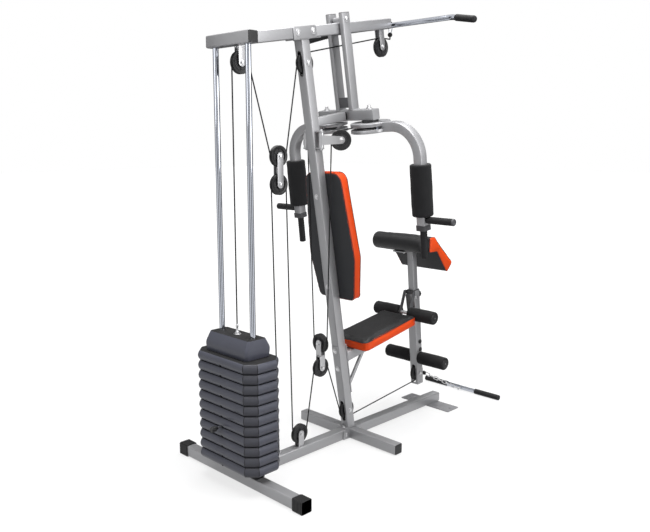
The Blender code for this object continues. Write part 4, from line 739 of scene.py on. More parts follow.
foot = plate(panel(0.662, -0.027, 0.752, 0.027, 0.004), FOOT_Z, FOOT_TOP, normal="z")
foot_piece = maker("frame", "main_upright")
foot_piece("upright_foot_plate", foot, silver)
around = [(FOOT_X + sx * 0.0262, sy * 0.0256, 0.0588) for sx, sy in CORNERS]
foot_piece("upright_foot_seam", seam(around, 0.0026, closed=True), silver)
foot_bolts = [bolt((x, 0, FOOT_TOP), UP, 0.0075, washer=0.01) for x in (0.6725, 0.7415)]
foot_piece("upright_foot_bolts", together(*foot_bolts), zinc)

# %% Slot axles and rims
axle_parts = []
for height in SLOTS:
    for side in BOTH:
        axle_parts.append(bolt((0, side * HALF, height), (0, side, 0), 0.009, "hex" if side < 0 else "nut"))
    axle_parts.append(rod(0.0049, -0.024, 0.024, (0, 0, height), ACROSS))
upright_piece("upright_slot_axles", together(*axle_parts), zinc)
spacers = [hollow(0.0053, 0.009, 0.0095, 0.0222, (0, 0, height), (0, side, 0), 20) for height in SLOTS
    for side in BOTH]
upright_piece("upright_slot_spacers", together(*spacers), plastic)

# %% [markdown]
# ### U bracket and bumper
#
# The bracket is one bent sheet: a floor under the two beams and two cheeks beside them, with two through bolts. Ahead
# of the upright its floor sticks out, and a thin black strip under it is painted shade: it stands for the shadow on
# the floor's underside. Lower down a short stub holds the rubber bumper that the press frame rests on.

# %% U bracket
BRACKET_REAR, BRACKET_FRONT = 0.07, 0.095
CHEEK_IN, CHEEK_OUT = 0.0253, 0.0293
saddle = plate(panel(-BRACKET_REAR, -CHEEK_OUT, BRACKET_FRONT, CHEEK_OUT, 0.003), UPRIGHT_TOP, UPRIGHT_TOP + 0.004,
    normal="z", edge=0.0004)
cheeks = [plate(panel(-BRACKET_REAR, UPRIGHT_TOP + 0.0005, BRACKET_REAR, 1.9675, [0.0015, 0.0015, 0.01, 0.01]),
    *ordered(side, CHEEK_IN, CHEEK_OUT), edge=0.0005) for side in BOTH]
upright_piece("upright_bracket", together(saddle, *cheeks), silver)
BRACKET_BOLTS = ((-0.043, 1.943), (0.05, 1.943))
bracket_bolts = [bolt((x, side * CHEEK_OUT, z), (0, side, 0), 0.01, "hex" if side < 0 else "nut", 0.0145)
    for x, z in BRACKET_BOLTS for side in BOTH]
upright_piece("upright_bracket_bolts", together(*bracket_bolts), zinc)
upright_piece("bracket_seam", seam([(sx * 0.0256, sy * 0.0252, UPRIGHT_TOP - 0.001) for sx, sy in CORNERS],
    closed=True), silver)
# Painted shade: a thin black strip in the rubber finish under the bracket floor stands for the shadow there.
strip = block((0.03, -0.02, UPRIGHT_TOP - 0.007), (BRACKET_FRONT - 0.004, 0.02, UPRIGHT_TOP - 0.0002), 0.002)
upright_piece("bracket_rubber_strip", strip, rubber)

# %% Bumper and hinge lugs
PRESS_X, BAR_HEIGHT = 0.245, 1.547
STUB_END = PRESS_X - HALF - 0.012 - 0.0006
upright_piece("bumper_stub", tube((HALF - 0.001, 0, BAR_HEIGHT), (STUB_END, 0, BAR_HEIGHT), 0.04, 0.04, 0.004),
    silver)
upright_piece("bumper_stub_seam", seam([(HALF + 0.0006, sy * 0.02, BAR_HEIGHT + sz * 0.02) for sy, sz in CORNERS],
    closed=True), silver)
bumper = sweep([(STUB_END + 0.0003, 0, BAR_HEIGHT), (STUB_END + 0.0083, 0, BAR_HEIGHT),
    (STUB_END + 0.0117, 0, BAR_HEIGHT)], rounded(0.036, 0.036, 0.008), ACROSS)
piece("press_bumper", soften(bumper, 0.0025, 4), rubber, "frame", "arm_bumper", place=UPRIGHT)

SWIVEL_Z = 1.503
SWIVEL = Vector((FOOT_X - (SWIVEL_Z - FOOT_Z) * math.tan(LEAN), 0.049, SWIVEL_Z))
lugs = []
for side in BOTH:
    for level in (-1, 1):
        near, far = ordered(side, HALF - 0.001, SWIVEL.y + 0.012)
        lug = panel(SWIVEL.x - 0.014, near, SWIVEL.x + 0.014, far, [0.001, 0.001, 0.011, 0.011] if side > 0
            else [0.011, 0.011, 0.001, 0.001])
        low, high = sorted((SWIVEL_Z + level * 0.0343, SWIVEL_Z + level * 0.04))
        lugs.append(plate(lug, low, high, normal="z", edge=0.0005))
foot_piece("swivel_lugs", together(*lugs), silver)

# %% [markdown]
# ## Top beams
#
# The rear beam runs back to a short cross tube that holds the guide rods, and the front beam runs forward to the lat
# pulley. Both ends are plugged. A pivot sleeve for the press frame is welded on top of the front beam, and the two
# outer pulleys hang in pairs of bright straps with round ends, held by one bolt each.

# %% Rear beam and rod box
BEAM_MID, BEAM_TOP, BEAM_FRONT = 1.9417, 1.9667, 0.5977
ROD_BOX_TOP, ROD_BOX_HALF = 1.93, 0.14
rear_start = (FLOOR_TO_UPRIGHT @ Vector((HALF - 0.004, 0, ROD_BOX_TOP - HALF))).x
piece("rear_beam_tube", tube((rear_start, 0, BEAM_MID), (-0.0002, 0, BEAM_MID)), silver, "frame", "rear_top_beam",
    place=UPRIGHT)
box_mid = ROD_BOX_TOP - HALF
rear_piece = maker("frame", "rear_top_beam")
rear_piece("rod_box_tube", tube((0, -ROD_BOX_HALF + PLUG, box_mid), (0, ROD_BOX_HALF - PLUG, box_mid),
    across=FORWARD), silver)
for name, side in SIDES:
    rear_piece("rod_box_plug_" + name, plug((0, side * (ROD_BOX_HALF - PLUG), box_mid), (0, side, 0), across=FORWARD),
        plastic)
rear_piece("rod_box_seams",
    together(*[seam([(HALF + 0.0004, side * HALF, box_mid - 0.018), (HALF + 0.0004, side * HALF, box_mid + 0.022)])
    for side in BOTH],
    seam([(HALF + 0.0004, -0.022, ROD_BOX_TOP + 0.001), (HALF + 0.0004, 0.022, ROD_BOX_TOP + 0.001)])), silver)

# %% Front beam and pivot sleeve
front_piece = maker("frame", "front_top_beam", UPRIGHT)
front_piece("front_beam_tube", tube((0.0002, 0, BEAM_MID), (BEAM_FRONT - PLUG, 0, BEAM_MID)), silver)
front_piece("front_beam_plug", plug((BEAM_FRONT - PLUG, 0, BEAM_MID), FORWARD), plastic)
PIVOT = Vector((PRESS_X, 0, 1.9792))
sleeve = turned([(0.0055, -0.0248), (0.0112, -0.0248), (0.012, -0.024), (0.012, 0.024), (0.0112, 0.0248),
    (0.0055, 0.0248)], PIVOT, ACROSS, 28, ring=True)
saddle = plate([(PRESS_X - 0.014, BEAM_TOP - 0.001), (PRESS_X + 0.014, BEAM_TOP - 0.001), (PRESS_X + 0.0105, 1.9745),
    (PRESS_X - 0.0105, 1.9745)], -0.022, 0.022, edge=0.0008)
front_piece("pivot_sleeve", together(sleeve, saddle), silver)

# %% Pulley straps
STRAP_IN, STRAP_OUT, STRAP_WIDTH = 0.0115, 0.0145, 0.034


def straps(x, z_axle, z_far, width=STRAP_WIDTH):
    """A pair of straps with round ends at the axle, and square where they are welded on."""
    outline = [(x + width / 2 * math.cos(math.radians(a)), z_axle - math.copysign(width / 2,
        z_far - z_axle) * math.sin(math.radians(a))) for a in range(0, 181, 15)]
    outline += [(x - width / 2, z_far), (x + width / 2, z_far)]
    return together(*[plate(outline, *ordered(side, STRAP_IN, STRAP_OUT), edge=0.0005) for side in BOTH])


def axle(x, z):
    """The bolt that a pulley turns on, with its head on the right and its nut on the left."""
    return through_bolt((x, 0, z), STRAP_OUT)


TOP_REAR = Vector((0.04397, 0, 1.818))
TOP_FRONT = Vector((0.5282, 0, 1.8357))
BASE_WHEEL = Vector((0.364, 0, 0.115))
rear_piece("top_rear_straps", straps(TOP_REAR.x, TOP_REAR.z, ROD_BOX_TOP - 0.046), strap_metal)
rear_piece("top_rear_axle", axle(TOP_REAR.x, TOP_REAR.z), zinc)
front_piece("top_front_straps", straps(TOP_FRONT.x, TOP_FRONT.z, BEAM_TOP - 0.049), strap_metal)
front_piece("top_front_axle", axle(TOP_FRONT.x, TOP_FRONT.z), zinc)
base_piece("base_straps", straps(BASE_WHEEL.x, BASE_WHEEL.z, TOP_OF_BASE - 0.0005), strap_metal)
base_piece("base_axle", axle(BASE_WHEEL.x, BASE_WHEEL.z), zinc)
ANCHOR_X = 0.232
anchor = plate([(ANCHOR_X - 0.01, TOP_OF_BASE - 0.001), (ANCHOR_X + 0.01, TOP_OF_BASE - 0.001),
    *arc(ANCHOR_X, TOP_OF_BASE + 0.01, 0.008, range(0, 181, 20))], -0.004, 0.004)
base_piece("leg_cable_anchor", together(anchor, bolt((ANCHOR_X, -0.004, 0.064), (0, -1, 0), 0.005, washer=0.006),
    bolt((ANCHOR_X, 0.004, 0.064), ACROSS, 0.005, washer=0.006)), zinc)

# %% [markdown]
# ## Weight stack
#
# Eleven plates slide on two chrome rods. Each is a plastic shell filled with cement: its long sides swell outwards,
# its four corners are cut off flat, and a thin joint line runs down both sides of every cut corner. One plate is
# drawn once, and its mesh is shared by all eleven, which is how the real ones are made too, in one mould.

# %% One weight plate
PLATE_PITCH, STACK_LOW, SPLIT = 0.0454, 0.092, 0.2739
DEEP, WIDE_HALF, CORNER_CUT = 0.1, 0.201, 0.045
ROD_PITCH, ROD_RADIUS, ROD_LOW, ROD_HIGH = 0.212, 0.0125, 0.0543, 1.8797


def weight_ring(inset, z, groove=0.0022, beside=0.0017):
    """The plate's outline at one height: eight corners, and a groove beside each cut corner."""
    x, y, cut = DEEP - inset, WIDE_HALF - inset, CORNER_CUT - 0.6 * inset
    corners = [Vector(c) for c in ((x, y - cut), (x - cut, y), (cut - x, y), (-x, y - cut), (-x, cut - y),
        (cut - x, -y), (x - cut, -y), (x, cut - y))]
    points = []
    for k, corner in enumerate(corners):
        before = (corners[k - 1] - corner).normalized()
        after = (corners[(k + 1) % 8] - corner).normalized()
        for point in (corner + before * beside, corner + (before + after).normalized() * groove,
                      corner + after * beside):
            points.append((*point, z))
    return points


swell = [(0.012, 0.0004), (0.0088, 0.002), (0.0058, 0.0054), (0.003, 0.01), (0.001, 0.016), (0.0, 0.0226),
    (0.001, 0.0292), (0.003, 0.0352), (0.0058, 0.0398), (0.0088, 0.0432), (0.012, 0.0448)]
rod_bores = [rod(0.014, -0.01, 0.06, (0, side * ROD_PITCH / 2, 0), steps=24) for side in BOTH]
stem_bore = rod(0.0115, -0.01, 0.06, steps=20)
pin_slot = plate(panel(-0.006, -0.01, 0.006, 0.012, [0.0005, 0.0005, 0.0045, 0.0045]), -0.14, 0.002, normal="x",
    edge=0)
weight = carved(carved(loft([weight_ring(inset, z) for inset, z in swell]), *rod_bores, stem_bore), pin_slot)


# %% Finishes on one plate
def weight_layer(face):
    """0 shell, 1 cut corner, 2 top and bottom, 3 groove."""
    centre, normal = face.calc_center_median(), face.normal
    if abs(normal.z) > 0.75 or (abs(centre.y) < 0.0066 and abs(normal.y) > 0.7):
        return 2
    x, y = abs(centre.x), abs(centre.y)
    near_x, near_y = DEEP - CORNER_CUT, WIDE_HALF - CORNER_CUT
    if x > near_x - 0.0015 and y > near_y - 0.0015 and abs(abs(normal.x) - abs(normal.y)) < 0.25:
        return 1
    by_corner = min(abs(y - near_y), abs(x - near_x)) < 0.0066 and (x > DEEP - 0.012 or y > WIDE_HALF - 0.012)
    return 3 if by_corner and face.calc_area() < 3e-5 else 0


for face in weight.faces:
    face.material_index = weight_layer(face)
first = piece("resting_plate_1", weight, (shell, shell_face, shell_top, plastic), "frame", "resting_plates")
weight_mesh = first.data
bpy.data.objects.remove(first)

# %% Eleven plates from one mesh
RESTING, COUNT = 4, 11
for k in range(COUNT):
    lifted = k >= RESTING
    base = (SPLIT + 0.0003 + (k - RESTING) * PLATE_PITCH) if lifted else (STACK_LOW + 0.0003 + k * PLATE_PITCH)
    plate_object = in_scene(f"lifted_plate_{k - 3}" if lifted else f"resting_plate_{k + 1}", weight_mesh)
    plate_object.location = (0, 0, base + 0.0003)
    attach(plate_object, "stack" if lifted else "frame")
    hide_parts("lifted_plates" if lifted else "resting_plates")
print("plates share", len(weight_mesh.polygons), "faces")

# %% [markdown]
# ### Cap block, stem and pin
#
# A tall block closes the stack. Its sides swell at half height and then slope in to a flat black top. The selector
# stem hangs through all plates; every plate has a hole for the pin, and the pin's round knob shows at the back. The
# cable is fixed to an eye on top of the stem.

# %% Cap block
CAP_LOW, CAP_TOP = 0.5923, 0.6763
levels = [(0.127, 0.277, 0.009, 0.0004), (0.131, 0.281, 0.01, 0.0018), (0.1352, 0.2852, 0.01, 0.011),
    (0.1374, 0.2874, 0.01, 0.024), (0.138, 0.288, 0.01, 0.037), (0.1335, 0.2864, 0.01, 0.047),
    (0.1145, 0.28, 0.01, 0.067), (0.1, 0.275, 0.009, 0.08), (0.0962, 0.2736, 0.009, 0.0832),
    (0.092, 0.27, 0.008, 0.084)]
cap_shape = loft([[(a, b, CAP_LOW + z) for a, b in rounded(depth, width, corner, 1)]
    for depth, width, corner, z in levels])
cap_bores = [rod(0.0142, CAP_LOW - 0.01, CAP_TOP + 0.01, (0, side * ROD_PITCH / 2, 0), steps=28) for side in BOTH]
cap_shape = carved(cap_shape, *cap_bores)
for face in cap_shape.faces:
    centre = face.calc_center_median()
    deep = min(math.hypot(centre.x, centre.y - s * ROD_PITCH / 2) for s in (-1, 1)) < 0.0145
    face.material_index = 1 if (face.normal.z > 0.8 and centre.z > CAP_TOP - 0.002) or deep else 0
piece("stack_cap_block", cap_shape, (shell, shell_top), "stack", "stack_cap")
bushes = [turned([(0.0129, 0), (0.0185, 0), (0.019, 0.0008), (0.018, 0.0022), (0.014, 0.0026), (0.0129, 0.002)],
    (0, side * ROD_PITCH / 2, CAP_TOP - 0.0006), ring=True) for side in BOTH]
piece("stack_cap_bushes", together(*bushes), plastic, "stack", "stack_cap")

# %% Guide rods and foot cushion
for name, side in SIDES:
    profile = [(0, ROD_LOW), (ROD_RADIUS - 0.0008, ROD_LOW), (ROD_RADIUS, ROD_LOW + 0.0008),
        (ROD_RADIUS, ROD_HIGH - 0.0008), (ROD_RADIUS - 0.0008, ROD_HIGH), (0, ROD_HIGH)]
    piece("guide_rod_bar_" + name, turned(profile, (0, side * ROD_PITCH / 2, 0), steps=40), chrome, "frame",
        "guide_rod_" + name)
cushion = soften(carved(block((-0.026, -0.14, ROD_LOW), (0.026, 0.14, STACK_LOW - 0.0002), edge=0),
    *[rod(0.014, 0.03, 0.2, (0, side * ROD_PITCH / 2, 0), steps=24) for side in BOTH]), 0.003, 3, 60)
piece("stack_rest_cushion", cushion, rubber, "frame", "stack_cushion")

# %% Selector stem
stem = turned([(0, STACK_LOW + 0.01), (0.008, STACK_LOW + 0.01), (0.01, STACK_LOW + 0.013), (0.01, CAP_TOP + 0.011),
    (0.009, CAP_TOP + 0.012), (0, CAP_TOP + 0.012)])
first_hole = STACK_LOW + 0.0003 + 0.006
holes = [rod(0.0055, -0.03, 0.03, (0, 0, first_hole + k * PLATE_PITCH + (0.0003 if k >= 4 else 0)), FORWARD, 12)
    for k in range(1, 11)]
piece("selector_stem_bar", carved(stem, *holes), zinc, "stack", "selector_stem")
neck = turned([(0.0005, 0.008), (0.0062, 0.008), (0.0066, 0.014), (0.0048, 0.017), (0.0048, 0.029), (0.006, 0.032),
    (0.006, 0.0405), (0.0052, 0.043), (0.0026, 0.045), (0.0005, 0.045)], (0, 0, CAP_TOP), steps=28)
eye = sweep([(0, y, z) for y, z in arc(0, CAP_TOP + 0.036, 0.0068, range(0, 360, 20))], circle(0.0017, 10),
    closed=True)
piece("selector_stem_eye", together(neck, eye, bolt((0, 0, CAP_TOP + 0.0002), UP, 0.0145, washer=0.0175)), zinc,
    "stack", "selector_stem")

# %% Selector pin
PIN_Z, PIN_END = SPLIT + 0.0003 + 0.006, -0.1525
shaft = turned([(0, 0), (0.0036, 0), (0.0045, 0.0012), (0.0045, 0.142), (0, 0.142)], (0.0095, 0, PIN_Z), (-1, 0, 0),
    24)
piece("selector_pin_shaft", shaft, zinc, "pin", "selector_pin")
grip = [(0, 0), (0.0098, 0), (0.0116, 0.0016)]
for k in range(4):
    grip += [(0.0124, 0.004 + 0.005 * k), (0.0124, 0.0064 + 0.005 * k), (0.0114, 0.0074 + 0.005 * k)]
grip += [(0.0108, 0.0245), (0.0076, 0.026), (0, 0.026)]
guard = turned([(0.0046, 0.026), (0.0072, 0.026), (0.0066, 0.034), (0.0046, 0.034)], (PIN_END, 0, PIN_Z), FORWARD, 20,
    ring=True)
piece("selector_pin_knob", together(turned(grip, (PIN_END, 0, PIN_Z), FORWARD, 32), guard), plastic, "pin",
    "selector_pin")

# %% [markdown]
# ## Pulleys
#
# All twelve pulleys are the same nylon wheel: a rim with a groove for the cable, a thin web with ribs, and a pressed
# steel bearing in the hub. It is turned on the lathe helper, the ribs are added, and the mesh is shared. Each wheel
# rides on its own body, so it spins about its own axle in every pose.

# %% One wheel
rim = turned([(0.0325, 0.0078), (0.0345, 0.009), (0.0456, 0.009), (0.047, 0.0078), (0.0466, 0.0066), (0.0424, 0.003),
    (0.0408, 0.0016), (0.0405, 0.0), (0.0408, -0.0016), (0.0424, -0.003), (0.0466, -0.0066), (0.047, -0.0078),
    (0.0456, -0.009), (0.0345, -0.009), (0.0325, -0.0078), (0.0315, -0.003), (0.0315, 0.003)], steps=48, ring=True)
disc = hollow(0.013, 0.0325, 0.004, -0.004, steps=48)
hub = turned([(0.0098, 0.009), (0.014, 0.009), (0.015, 0.0078), (0.015, -0.0078), (0.014, -0.009), (0.0098, -0.009)],
    steps=36, ring=True)
bearing = turned([(0.0053, 0.0092), (0.0078, 0.0092), (0.0082, 0.0084), (0.0094, 0.0084), (0.0099, 0.009),
    (0.0099, -0.009), (0.0094, -0.0084), (0.0082, -0.0084), (0.0078, -0.0092), (0.0053, -0.0092)], steps=36,
    ring=True)
ribs = []
for k in range(6):
    for face_side in (-1, 1):
        low, high = ordered(face_side, 0.003, 0.0068)
        rib = block((0.014, -0.0011, low), (0.033, 0.0011, high), 0.0004)
        rib.transform(Matrix.Rotation(math.radians(60 * k), 4, "Z"))
        ribs.append(rib)
wheel_shape = together(rim, disc, hub, bearing, *ribs)
for face in wheel_shape.faces:
    far = Vector(face.calc_center_median()[:2]).length
    face.material_index = 2 if far < 0.01005 else 1 if far < 0.0318 else 0
wheel = piece("wheel_pattern", wheel_shape, (plastic, web, zinc), "frame", place=Matrix())
wheel_mesh = wheel.data
bpy.data.objects.remove(wheel)


# %% Twelve wheels in their places
def place_wheel(name, place, centre, axis=ACROSS):
    thing = in_scene("pulley_wheel_" + name, wheel_mesh)
    thing.matrix_world = place @ Matrix.Translation(centre) @ aim(axis, "X")
    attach(thing, "wheel_" + name)
    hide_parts("pulley_" + name)


ARM_DIRECTION = {side: Vector((math.cos(math.radians(38)), side * math.sin(math.radians(38)), 0)) for side in BOTH}
SWIVEL_PINS = {side: Vector((SWIVEL.x, side * SWIVEL.y, SWIVEL.z)) for side in BOTH}
SWIVEL_REACH, LEVER_SLOT = 0.09, -0.437
FLOAT_ONE, FLOAT_ONE_LOW = Vector((0.248, 0, 1.434)), Vector((0.248, 0, 1.31))
FLOAT_TWO, FLOAT_TWO_LOW = Vector((0.507, 0, 0.534)), Vector((0.507, 0, 0.413))
LEVER_WHEEL = Vector((0, 0, LEVER_SLOT))
for name, place, centre in (
        ("top_rear", FLOOR, TOP_REAR), ("base", FLOOR, BASE_WHEEL), ("upright_top", UPRIGHT, (0, 0, SLOTS[0])),
        ("upright_low", UPRIGHT, (0, 0, SLOTS[1])), ("top_front", UPRIGHT, TOP_FRONT), ("lever", POST, LEVER_WHEEL),
        ("float_one_upper", FLOOR, FLOAT_ONE), ("float_one_lower", FLOOR, FLOAT_ONE_LOW)):
    place_wheel(name, place, centre)
place_wheel("float_two_upper", FLOOR, FLOAT_TWO, FORWARD)
place_wheel("float_two_lower", FLOOR, FLOAT_TWO_LOW)
for name, side in SIDES:
    place_wheel("swivel_" + name, FLOOR, SWIVEL_PINS[side] + ARM_DIRECTION[side] * SWIVEL_REACH,
        ARM_DIRECTION[side].cross(Vector(UP)))
print("wheels share", len(wheel_mesh.polygons), "faces")

# %% [markdown]
# ## Floating pulleys
#
# Two pairs of pulleys hang in the cables and share the pull between them. In the first, both wheels turn the same
# way, between two straps with round ends. In the second the upper wheel is turned a quarter, so its two forks are
# welded back to back.

# %% Float one
one = [plate(stadium(FLOAT_ONE.x, FLOAT_ONE_LOW.z, FLOAT_ONE.z, 0.034), *ordered(s, STRAP_IN, STRAP_OUT), edge=0.0006)
    for _, s in SIDES]
piece("float_one_straps", together(*one), strap_metal, "float_one", "float_one_frame")
piece("float_one_axles", together(axle(FLOAT_ONE.x, FLOAT_ONE.z), axle(FLOAT_ONE.x, FLOAT_ONE_LOW.z)), zinc,
    "float_one", "float_one_frame")

# %% Float two
quarter = Matrix.Translation(FLOAT_TWO) @ Matrix.Rotation(math.radians(90), 4, "Z") @ Matrix.Translation(-FLOAT_TWO)
middle = (FLOAT_TWO.z + FLOAT_TWO_LOW.z) / 2
lower_fork = straps(FLOAT_TWO.x, FLOAT_TWO_LOW.z, middle - 0.0003)
lower_floor = block((FLOAT_TWO.x - 0.017, -STRAP_OUT, middle - 0.003), (FLOAT_TWO.x + 0.017, STRAP_OUT,
    middle - 0.0002))
upper_fork = straps(FLOAT_TWO.x, FLOAT_TWO.z, middle + 0.0003)
upper_floor = block((FLOAT_TWO.x - 0.017, -STRAP_OUT, middle + 0.0002), (FLOAT_TWO.x + 0.017, STRAP_OUT,
    middle + 0.003))
upper = together(upper_fork, upper_floor)
upper.transform(quarter)
piece("float_two_forks", together(lower_fork, lower_floor, upper), strap_metal, "float_two", "float_two_frame")
cross_axle = axle(FLOAT_TWO.x, FLOAT_TWO.z)
cross_axle.transform(quarter)
piece("float_two_axles", together(axle(FLOAT_TWO.x, FLOAT_TWO_LOW.z), cross_axle), zinc, "float_two",
    "float_two_frame")

# %% [markdown]
# ## Swivel pulleys
#
# Where the cable turns from the upright to the arms, its pulley must follow the arm. So each of these two wheels
# sits in a bracket that swings on an upright pin, like a gate on its hinge: a barrel, a web and two straps.

# %% Swivel brackets
for name, side in SIDES:
    swivel_piece = maker("swivel_" + name, "swivel_bracket_" + name)
    pin_at, arm_way = SWIVEL_PINS[side], ARM_DIRECTION[side]
    turn = Matrix((arm_way, arm_way.cross(Vector(UP)), Vector(UP))).transposed().to_4x4()
    at = Matrix.Translation(pin_at) @ turn
    barrel = turned([(0.0042, -0.0337), (0.0112, -0.0337), (0.0119, -0.033), (0.0119, 0.033), (0.0112, 0.0337),
        (0.0042, 0.0337)], steps=32, ring=True)
    outline = [(0.0, -0.022), (SWIVEL_REACH, -0.017), *arc(SWIVEL_REACH, 0, 0.017, range(-75, 76, 15)),
        (SWIVEL_REACH, 0.017), (0.0, 0.022)]
    plates = [plate(outline, *ordered(face, STRAP_IN, STRAP_OUT), edge=0.0005) for face in (-1, 1)]
    joiner = block((0.004, -STRAP_IN - 0.001, -0.02), (0.014, STRAP_IN + 0.001, 0.02))
    bracket = together(barrel, *plates, joiner)
    bracket.transform(at)
    swivel_piece("swivel_bracket_body_" + name, bracket, strap_metal)
    hinge_pin = turned([(0, -0.046), (0.0034, -0.046), (0.004, -0.0455), (0.004, 0.0455), (0.0034, 0.046),
        (0, 0.046)], steps=20)
    fittings = together(hinge_pin, bolt((0, 0, 0.0403), UP, 0.008, washer=0), bolt((0, 0, -0.0403), (0, 0, -1), 0.008,
        washer=0), axle(SWIVEL_REACH, 0))
    fittings.transform(at)
    swivel_piece("swivel_bolts_" + name, fittings, zinc)

# %% [markdown]
# ## Press frame
#
# Two flat tubes hang from the pivot sleeve on the beam and carry a crossbar. A dark plate ties them near the bottom.
# The whole frame swings forward when the user presses, so all of it rides on the press body.

# %% Press frame
PRESS_TOP, STILE_Y, BAR_HALF = 2.01, 0.0415, 0.177
STILE_LOW = BAR_HEIGHT + HALF - 0.001
press_piece = maker("press", "press_frame", UPRIGHT)
press_piece("press_crossbar", tube((PRESS_X, -BAR_HALF + PLUG, BAR_HEIGHT), (PRESS_X, BAR_HALF - PLUG, BAR_HEIGHT),
    across=FORWARD), silver)
for name, side in SIDES:
    press_piece("press_plug_" + name, plug((PRESS_X, side * (BAR_HALF - PLUG), BAR_HEIGHT), (0, side, 0),
        across=FORWARD), silver)
    stile = tube((PRESS_X, side * STILE_Y, STILE_LOW), (PRESS_X, side * STILE_Y, PRESS_TOP - 0.0022), 0.025, 0.05,
        0.005)
    press_piece("press_stile_" + name, stile, silver)
    lid = sweep([(PRESS_X, side * STILE_Y, PRESS_TOP - 0.0022), (PRESS_X, side * STILE_Y, PRESS_TOP)],
        rounded(0.023, 0.048, 0.004), ACROSS)
    press_piece("press_stile_plug_" + name, soften(lid, 0.0009, 2), plastic)
    ring = [(PRESS_X + sx * 0.0255, side * STILE_Y + sy * 0.0128, STILE_LOW + 0.0014) for sx, sy in CORNERS]
    press_piece("press_seam_" + name, seam(ring, closed=True), silver)
tie_y = STILE_Y - 0.012
press_piece("press_tie_plate", block((PRESS_X - 0.02, -tie_y, STILE_LOW + 0.012),
    (PRESS_X - 0.016, tie_y, STILE_LOW + 0.06)), black_steel)
pivot_bolt = through_bolt(PIVOT, STILE_Y + 0.0125, 0.0095, 0.0135)
press_piece("press_pivot_bolt", pivot_bolt, zinc)
spacers = [hollow(0.0055, 0.0095, 0.0254, 0.0288, PIVOT, (0, side, 0), 24) for side in BOTH]
press_piece("press_pivot_spacers", together(*spacers), plastic)

# %% [markdown]
# ## Arms
#
# Each arm is a square tube bent through a quarter circle. Its inner end sits between two round plates that make a
# cam: the cable lies in the groove between them and is held by a small fork. The arm turns under the crossbar on a
# black disc. Below the foam pad the tube ends in a collar, with one handle down and one to the side.

# %% Arm tubes and cams
ARM_Z, ARM_Y, ARM_REACH, BEND = 1.49, 0.137, 0.41, 0.14
RAKE = math.tan(math.radians(2.9))
ARM_END = 1.032


def arm_centre(z, side):
    return Vector((PRESS_X + 0.008 - RAKE * (ARM_Z - z), side * ARM_REACH, z))


for name, side in SIDES:
    arm_piece = maker("butterfly_" + name, "arm_" + name, UPRIGHT)
    path = [Vector((PRESS_X, side * (ARM_Y + 0.02), ARM_Z)), Vector((PRESS_X, side * (ARM_Y + 0.085), ARM_Z))]
    for k in range(19):
        angle = math.radians(90 - 5 * k)
        z = ARM_Z - BEND + BEND * math.sin(angle)
        path.append(Vector((PRESS_X + 0.008 - RAKE * (ARM_Z - z), side * (ARM_REACH - BEND + BEND * math.cos(angle)),
            z)))
    path.append(arm_centre(ARM_END, side))
    arm_piece("arm_tube_" + name, sweep(path, rounded(0.045, 0.045, 0.005), FORWARD), silver)
    pivot = Vector((PRESS_X, side * ARM_Y, 0))
    cam = turned([(0, 1.4675), (0.0925, 1.4675), (0.094, 1.469), (0.094, 1.4822), (0.093, 1.4836), (0.0705, 1.4848),
        (0.07, 1.487), (0.07, 1.493), (0.0705, 1.4952), (0.093, 1.4964), (0.094, 1.4978), (0.094, 1.511),
        (0.0925, 1.5125), (0, 1.5125)], pivot, steps=64)
    arm_piece("arm_cam_" + name, cam, silver)
    disc = turned([(0, 1.5115), (0.0385, 1.5115), (0.04, 1.5125), (0.04, 1.5205), (0.0385, 1.5216), (0, 1.5216)],
        pivot, steps=48)
    arm_piece("arm_disc_" + name, disc, plastic)
    pin_up = together(turned([(0, 1.5205), (0.0079, 1.5205), (0.0079, 1.5885), (0.007, 1.5898), (0, 1.5898)], pivot,
        steps=28), bolt(pivot + Vector((0, 0, 1.5724)), UP, 0.013, washer=0.0165),
        bolt(pivot + Vector((0, 0, 1.4674)), (0, 0, -1), 0.0095, "dome", 0.0))
    arm_piece("arm_pivot_pin_" + name, pin_up, zinc)
    fork_y = [side * (ARM_Y + 0.0685), side * (ARM_Y + 0.0795)]
    cheeks = [plate(panel(0.1955, min(fork_y), 0.224, max(fork_y), 0.003),
        *sorted((ARM_Z + level * 0.0048, ARM_Z + level * 0.0078)), normal="z", edge=0.0004) for level in (-1, 1)]
    tongue = turned([(0, 0), (0.004, 0), (0.0046, 0.001), (0.0046, 0.01), (0.004, 0.011), (0, 0.011)],
        (0.203, sum(fork_y) / 2 - side * 0.0055, ARM_Z), (0, side, 0), 20)
    fork_pin = rod(0.003, -0.0095, 0.0095, (0.203, sum(fork_y) / 2, ARM_Z), UP, 16)
    arm_piece("arm_cable_fork_" + name, together(*cheeks, tongue, fork_pin), chrome)

# %% Handles
def grooves(count, pitch, radius, heights):
    """Rings cut into a grip, each drawn through four heights."""
    return [(radius - cut, height + pitch * k) for k in range(count) for cut, height in zip((0, 0.0006, 0.0006, 0),
        heights)]


